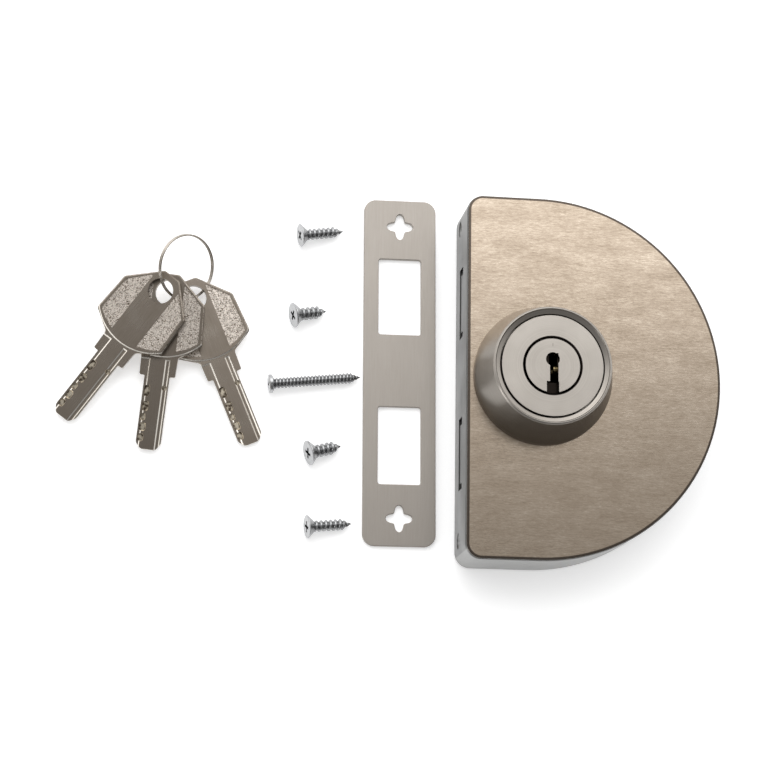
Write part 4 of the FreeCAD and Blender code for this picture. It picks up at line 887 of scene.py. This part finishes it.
for name, spot in screwSpots.items():
    kind = screwKinds[spot["kind"]]
    # the screw lies on its head's rim and on its thread
    rise = math.atan((kind["head"] - kind["shank"]) / (kind["length"] - kind["point"] - kind["edge"]))
    centre = metres((*spot["place"], kind["head"] * math.cos(rise) + kind["edge"] * math.sin(rise)))
    turn = Euler((0, math.pi / 2 - rise, math.radians(spot["turn"] + 180)), "XYZ")
    finish = screwFinish(name + "Zinc", kind, centre, turn, screwLook)
    mesh = joined([headMesh(kind, screwDetail), threadMesh(kind, finish)])
    finished(name, placed(mesh, centre, turn, math.radians(spot["spin"])), finish, spot["node"])
print("screws made")

# Inner pieces keep their own shapes, and the fasteners that show have rounded edges.
innerFinish = {
    "case": ["upper_hook", "lower_hook"],
    "steel": ["base_plate", "rack_slide", "upper_hook_pin", "lower_hook_pin", "hook_washers",
              "rack_guide_studs", "drive_pinion", "cylinder_ring_nut", "plug_retaining_clip",
              "pressure_plate", "pin_springs"],
    "darkSteel": ["base_plate_screws", "pinion_screw"],
    "brass": ["key_pins", "driver_pins", "chamber_plugs"],
    "rubber": ["front_glass_pad", "back_glass_pad"],
}
for finish, members in innerFinish.items():
    for node in members:
        coated(node, finish)
softened("backCoverScrewSet", "back_cover_screws", "darkSteel", 0.08)
softened("clampScrewSet", "clamp_screws", "darkSteel", 0.1)
print("inner pieces finished")

# Floor, lights, studio and camera, in metres.
floorSettings = {"half": 40.0, "colour": (0.94, 0.94, 0.94), "glow": 0.44}
half = floorSettings["half"]
floorMesh = bpy.data.meshes.new("floor")
floorMesh.from_pydata([(-half, -half, 0), (half, -half, 0), (half, half, 0), (-half, half, 0)], [],
                      [(0, 1, 2, 3)])
floorMesh.materials.append(Finish("paleFloor", {
    "Base Color": rgb(floorSettings["colour"]), "Roughness": 0.9, "Specular IOR Level": 0.1,
    "Emission Color": rgb((1, 1, 1)), "Emission Strength": floorSettings["glow"]}).material)
floor = bpy.data.objects.new("floor", floorMesh)
collection.objects.link(floor)

lights = {
    "topPanel": {"place": (-0.1, 0.87, 1.3), "aim": (-0.1, 0.0, 0.0), "size": (1.4, 1.1), "power": 6.4},
    "leftPanel": {"place": (-0.85, -0.45, 0.4), "aim": (0.0, 0.0, 0.0), "size": (0.35, 0.35), "power": 1.2},
}
for name, light in lights.items():
    data = bpy.data.lights.new(name, "AREA")
    data.shape = "RECTANGLE"
    data.size, data.size_y = light["size"]
    data.energy = light["power"]
    lamp = bpy.data.objects.new(name, data)
    lamp.location = light["place"]
    lamp.rotation_euler = (Vector(light["aim"]) - Vector(light["place"])).to_track_quat("-Z", "Y").to_euler()
    collection.objects.link(lamp)

# The studio is brighter behind the part than on the camera's side, and the change is sharpest overhead.
# Each gradient: from and to which direction it goes, and its strength there.
studioSettings = {"overhead": (0.06, 0.30, 0.34, 1.12), "lower": (-0.35, 0.35, 0.26, 1.42),
                  "blend": (0.72, 0.88, 0.0, 1.0), "whiteTo": (0.04, 0.01)}
studio = bpy.data.worlds.new("studio")
studio.use_nodes = True
sky = Graph(studio.node_tree)
x, y, z = sky.parts(sky.add("ShaderNodeTexCoord"))
share = z.span(*studioSettings["blend"], "SMOOTHSTEP")
level = (y.span(*studioSettings["overhead"], "SMOOTHSTEP") * share
         + y.span(*studioSettings["lower"], "SMOOTHSTEP") * (1.0 - share))
background = studio.node_tree.nodes["Background"]
background.inputs["Color"].default_value = rgb((1, 1, 1))
# past the floor's far edge the sky is as white as the floor
sky.feed(background.inputs["Strength"], level.most(z.below(*studioSettings["whiteTo"])))
bpy.context.scene.world = studio
bpy.context.scene.view_settings.view_transform = "Standard"

cameraSettings = {"place": (-0.14752, -0.16585, 0.74728), "turn": (12.359, -7.5079, 0.8268), "focal": 103.125,
                  "sensor": 36.0, "nearest": 0.05}
cameraData = bpy.data.cameras.new("camera")
cameraData.lens = cameraSettings["focal"]
cameraData.sensor_width = cameraSettings["sensor"]
cameraData.clip_start = cameraSettings["nearest"]
camera = bpy.data.objects.new("camera", cameraData)
camera.location = cameraSettings["place"]
camera.rotation_euler = Euler([math.radians(value) for value in cameraSettings["turn"]], "XYZ")
collection.objects.link(camera)
bpy.context.scene.camera = camera
print("floor, lights, studio and camera set")
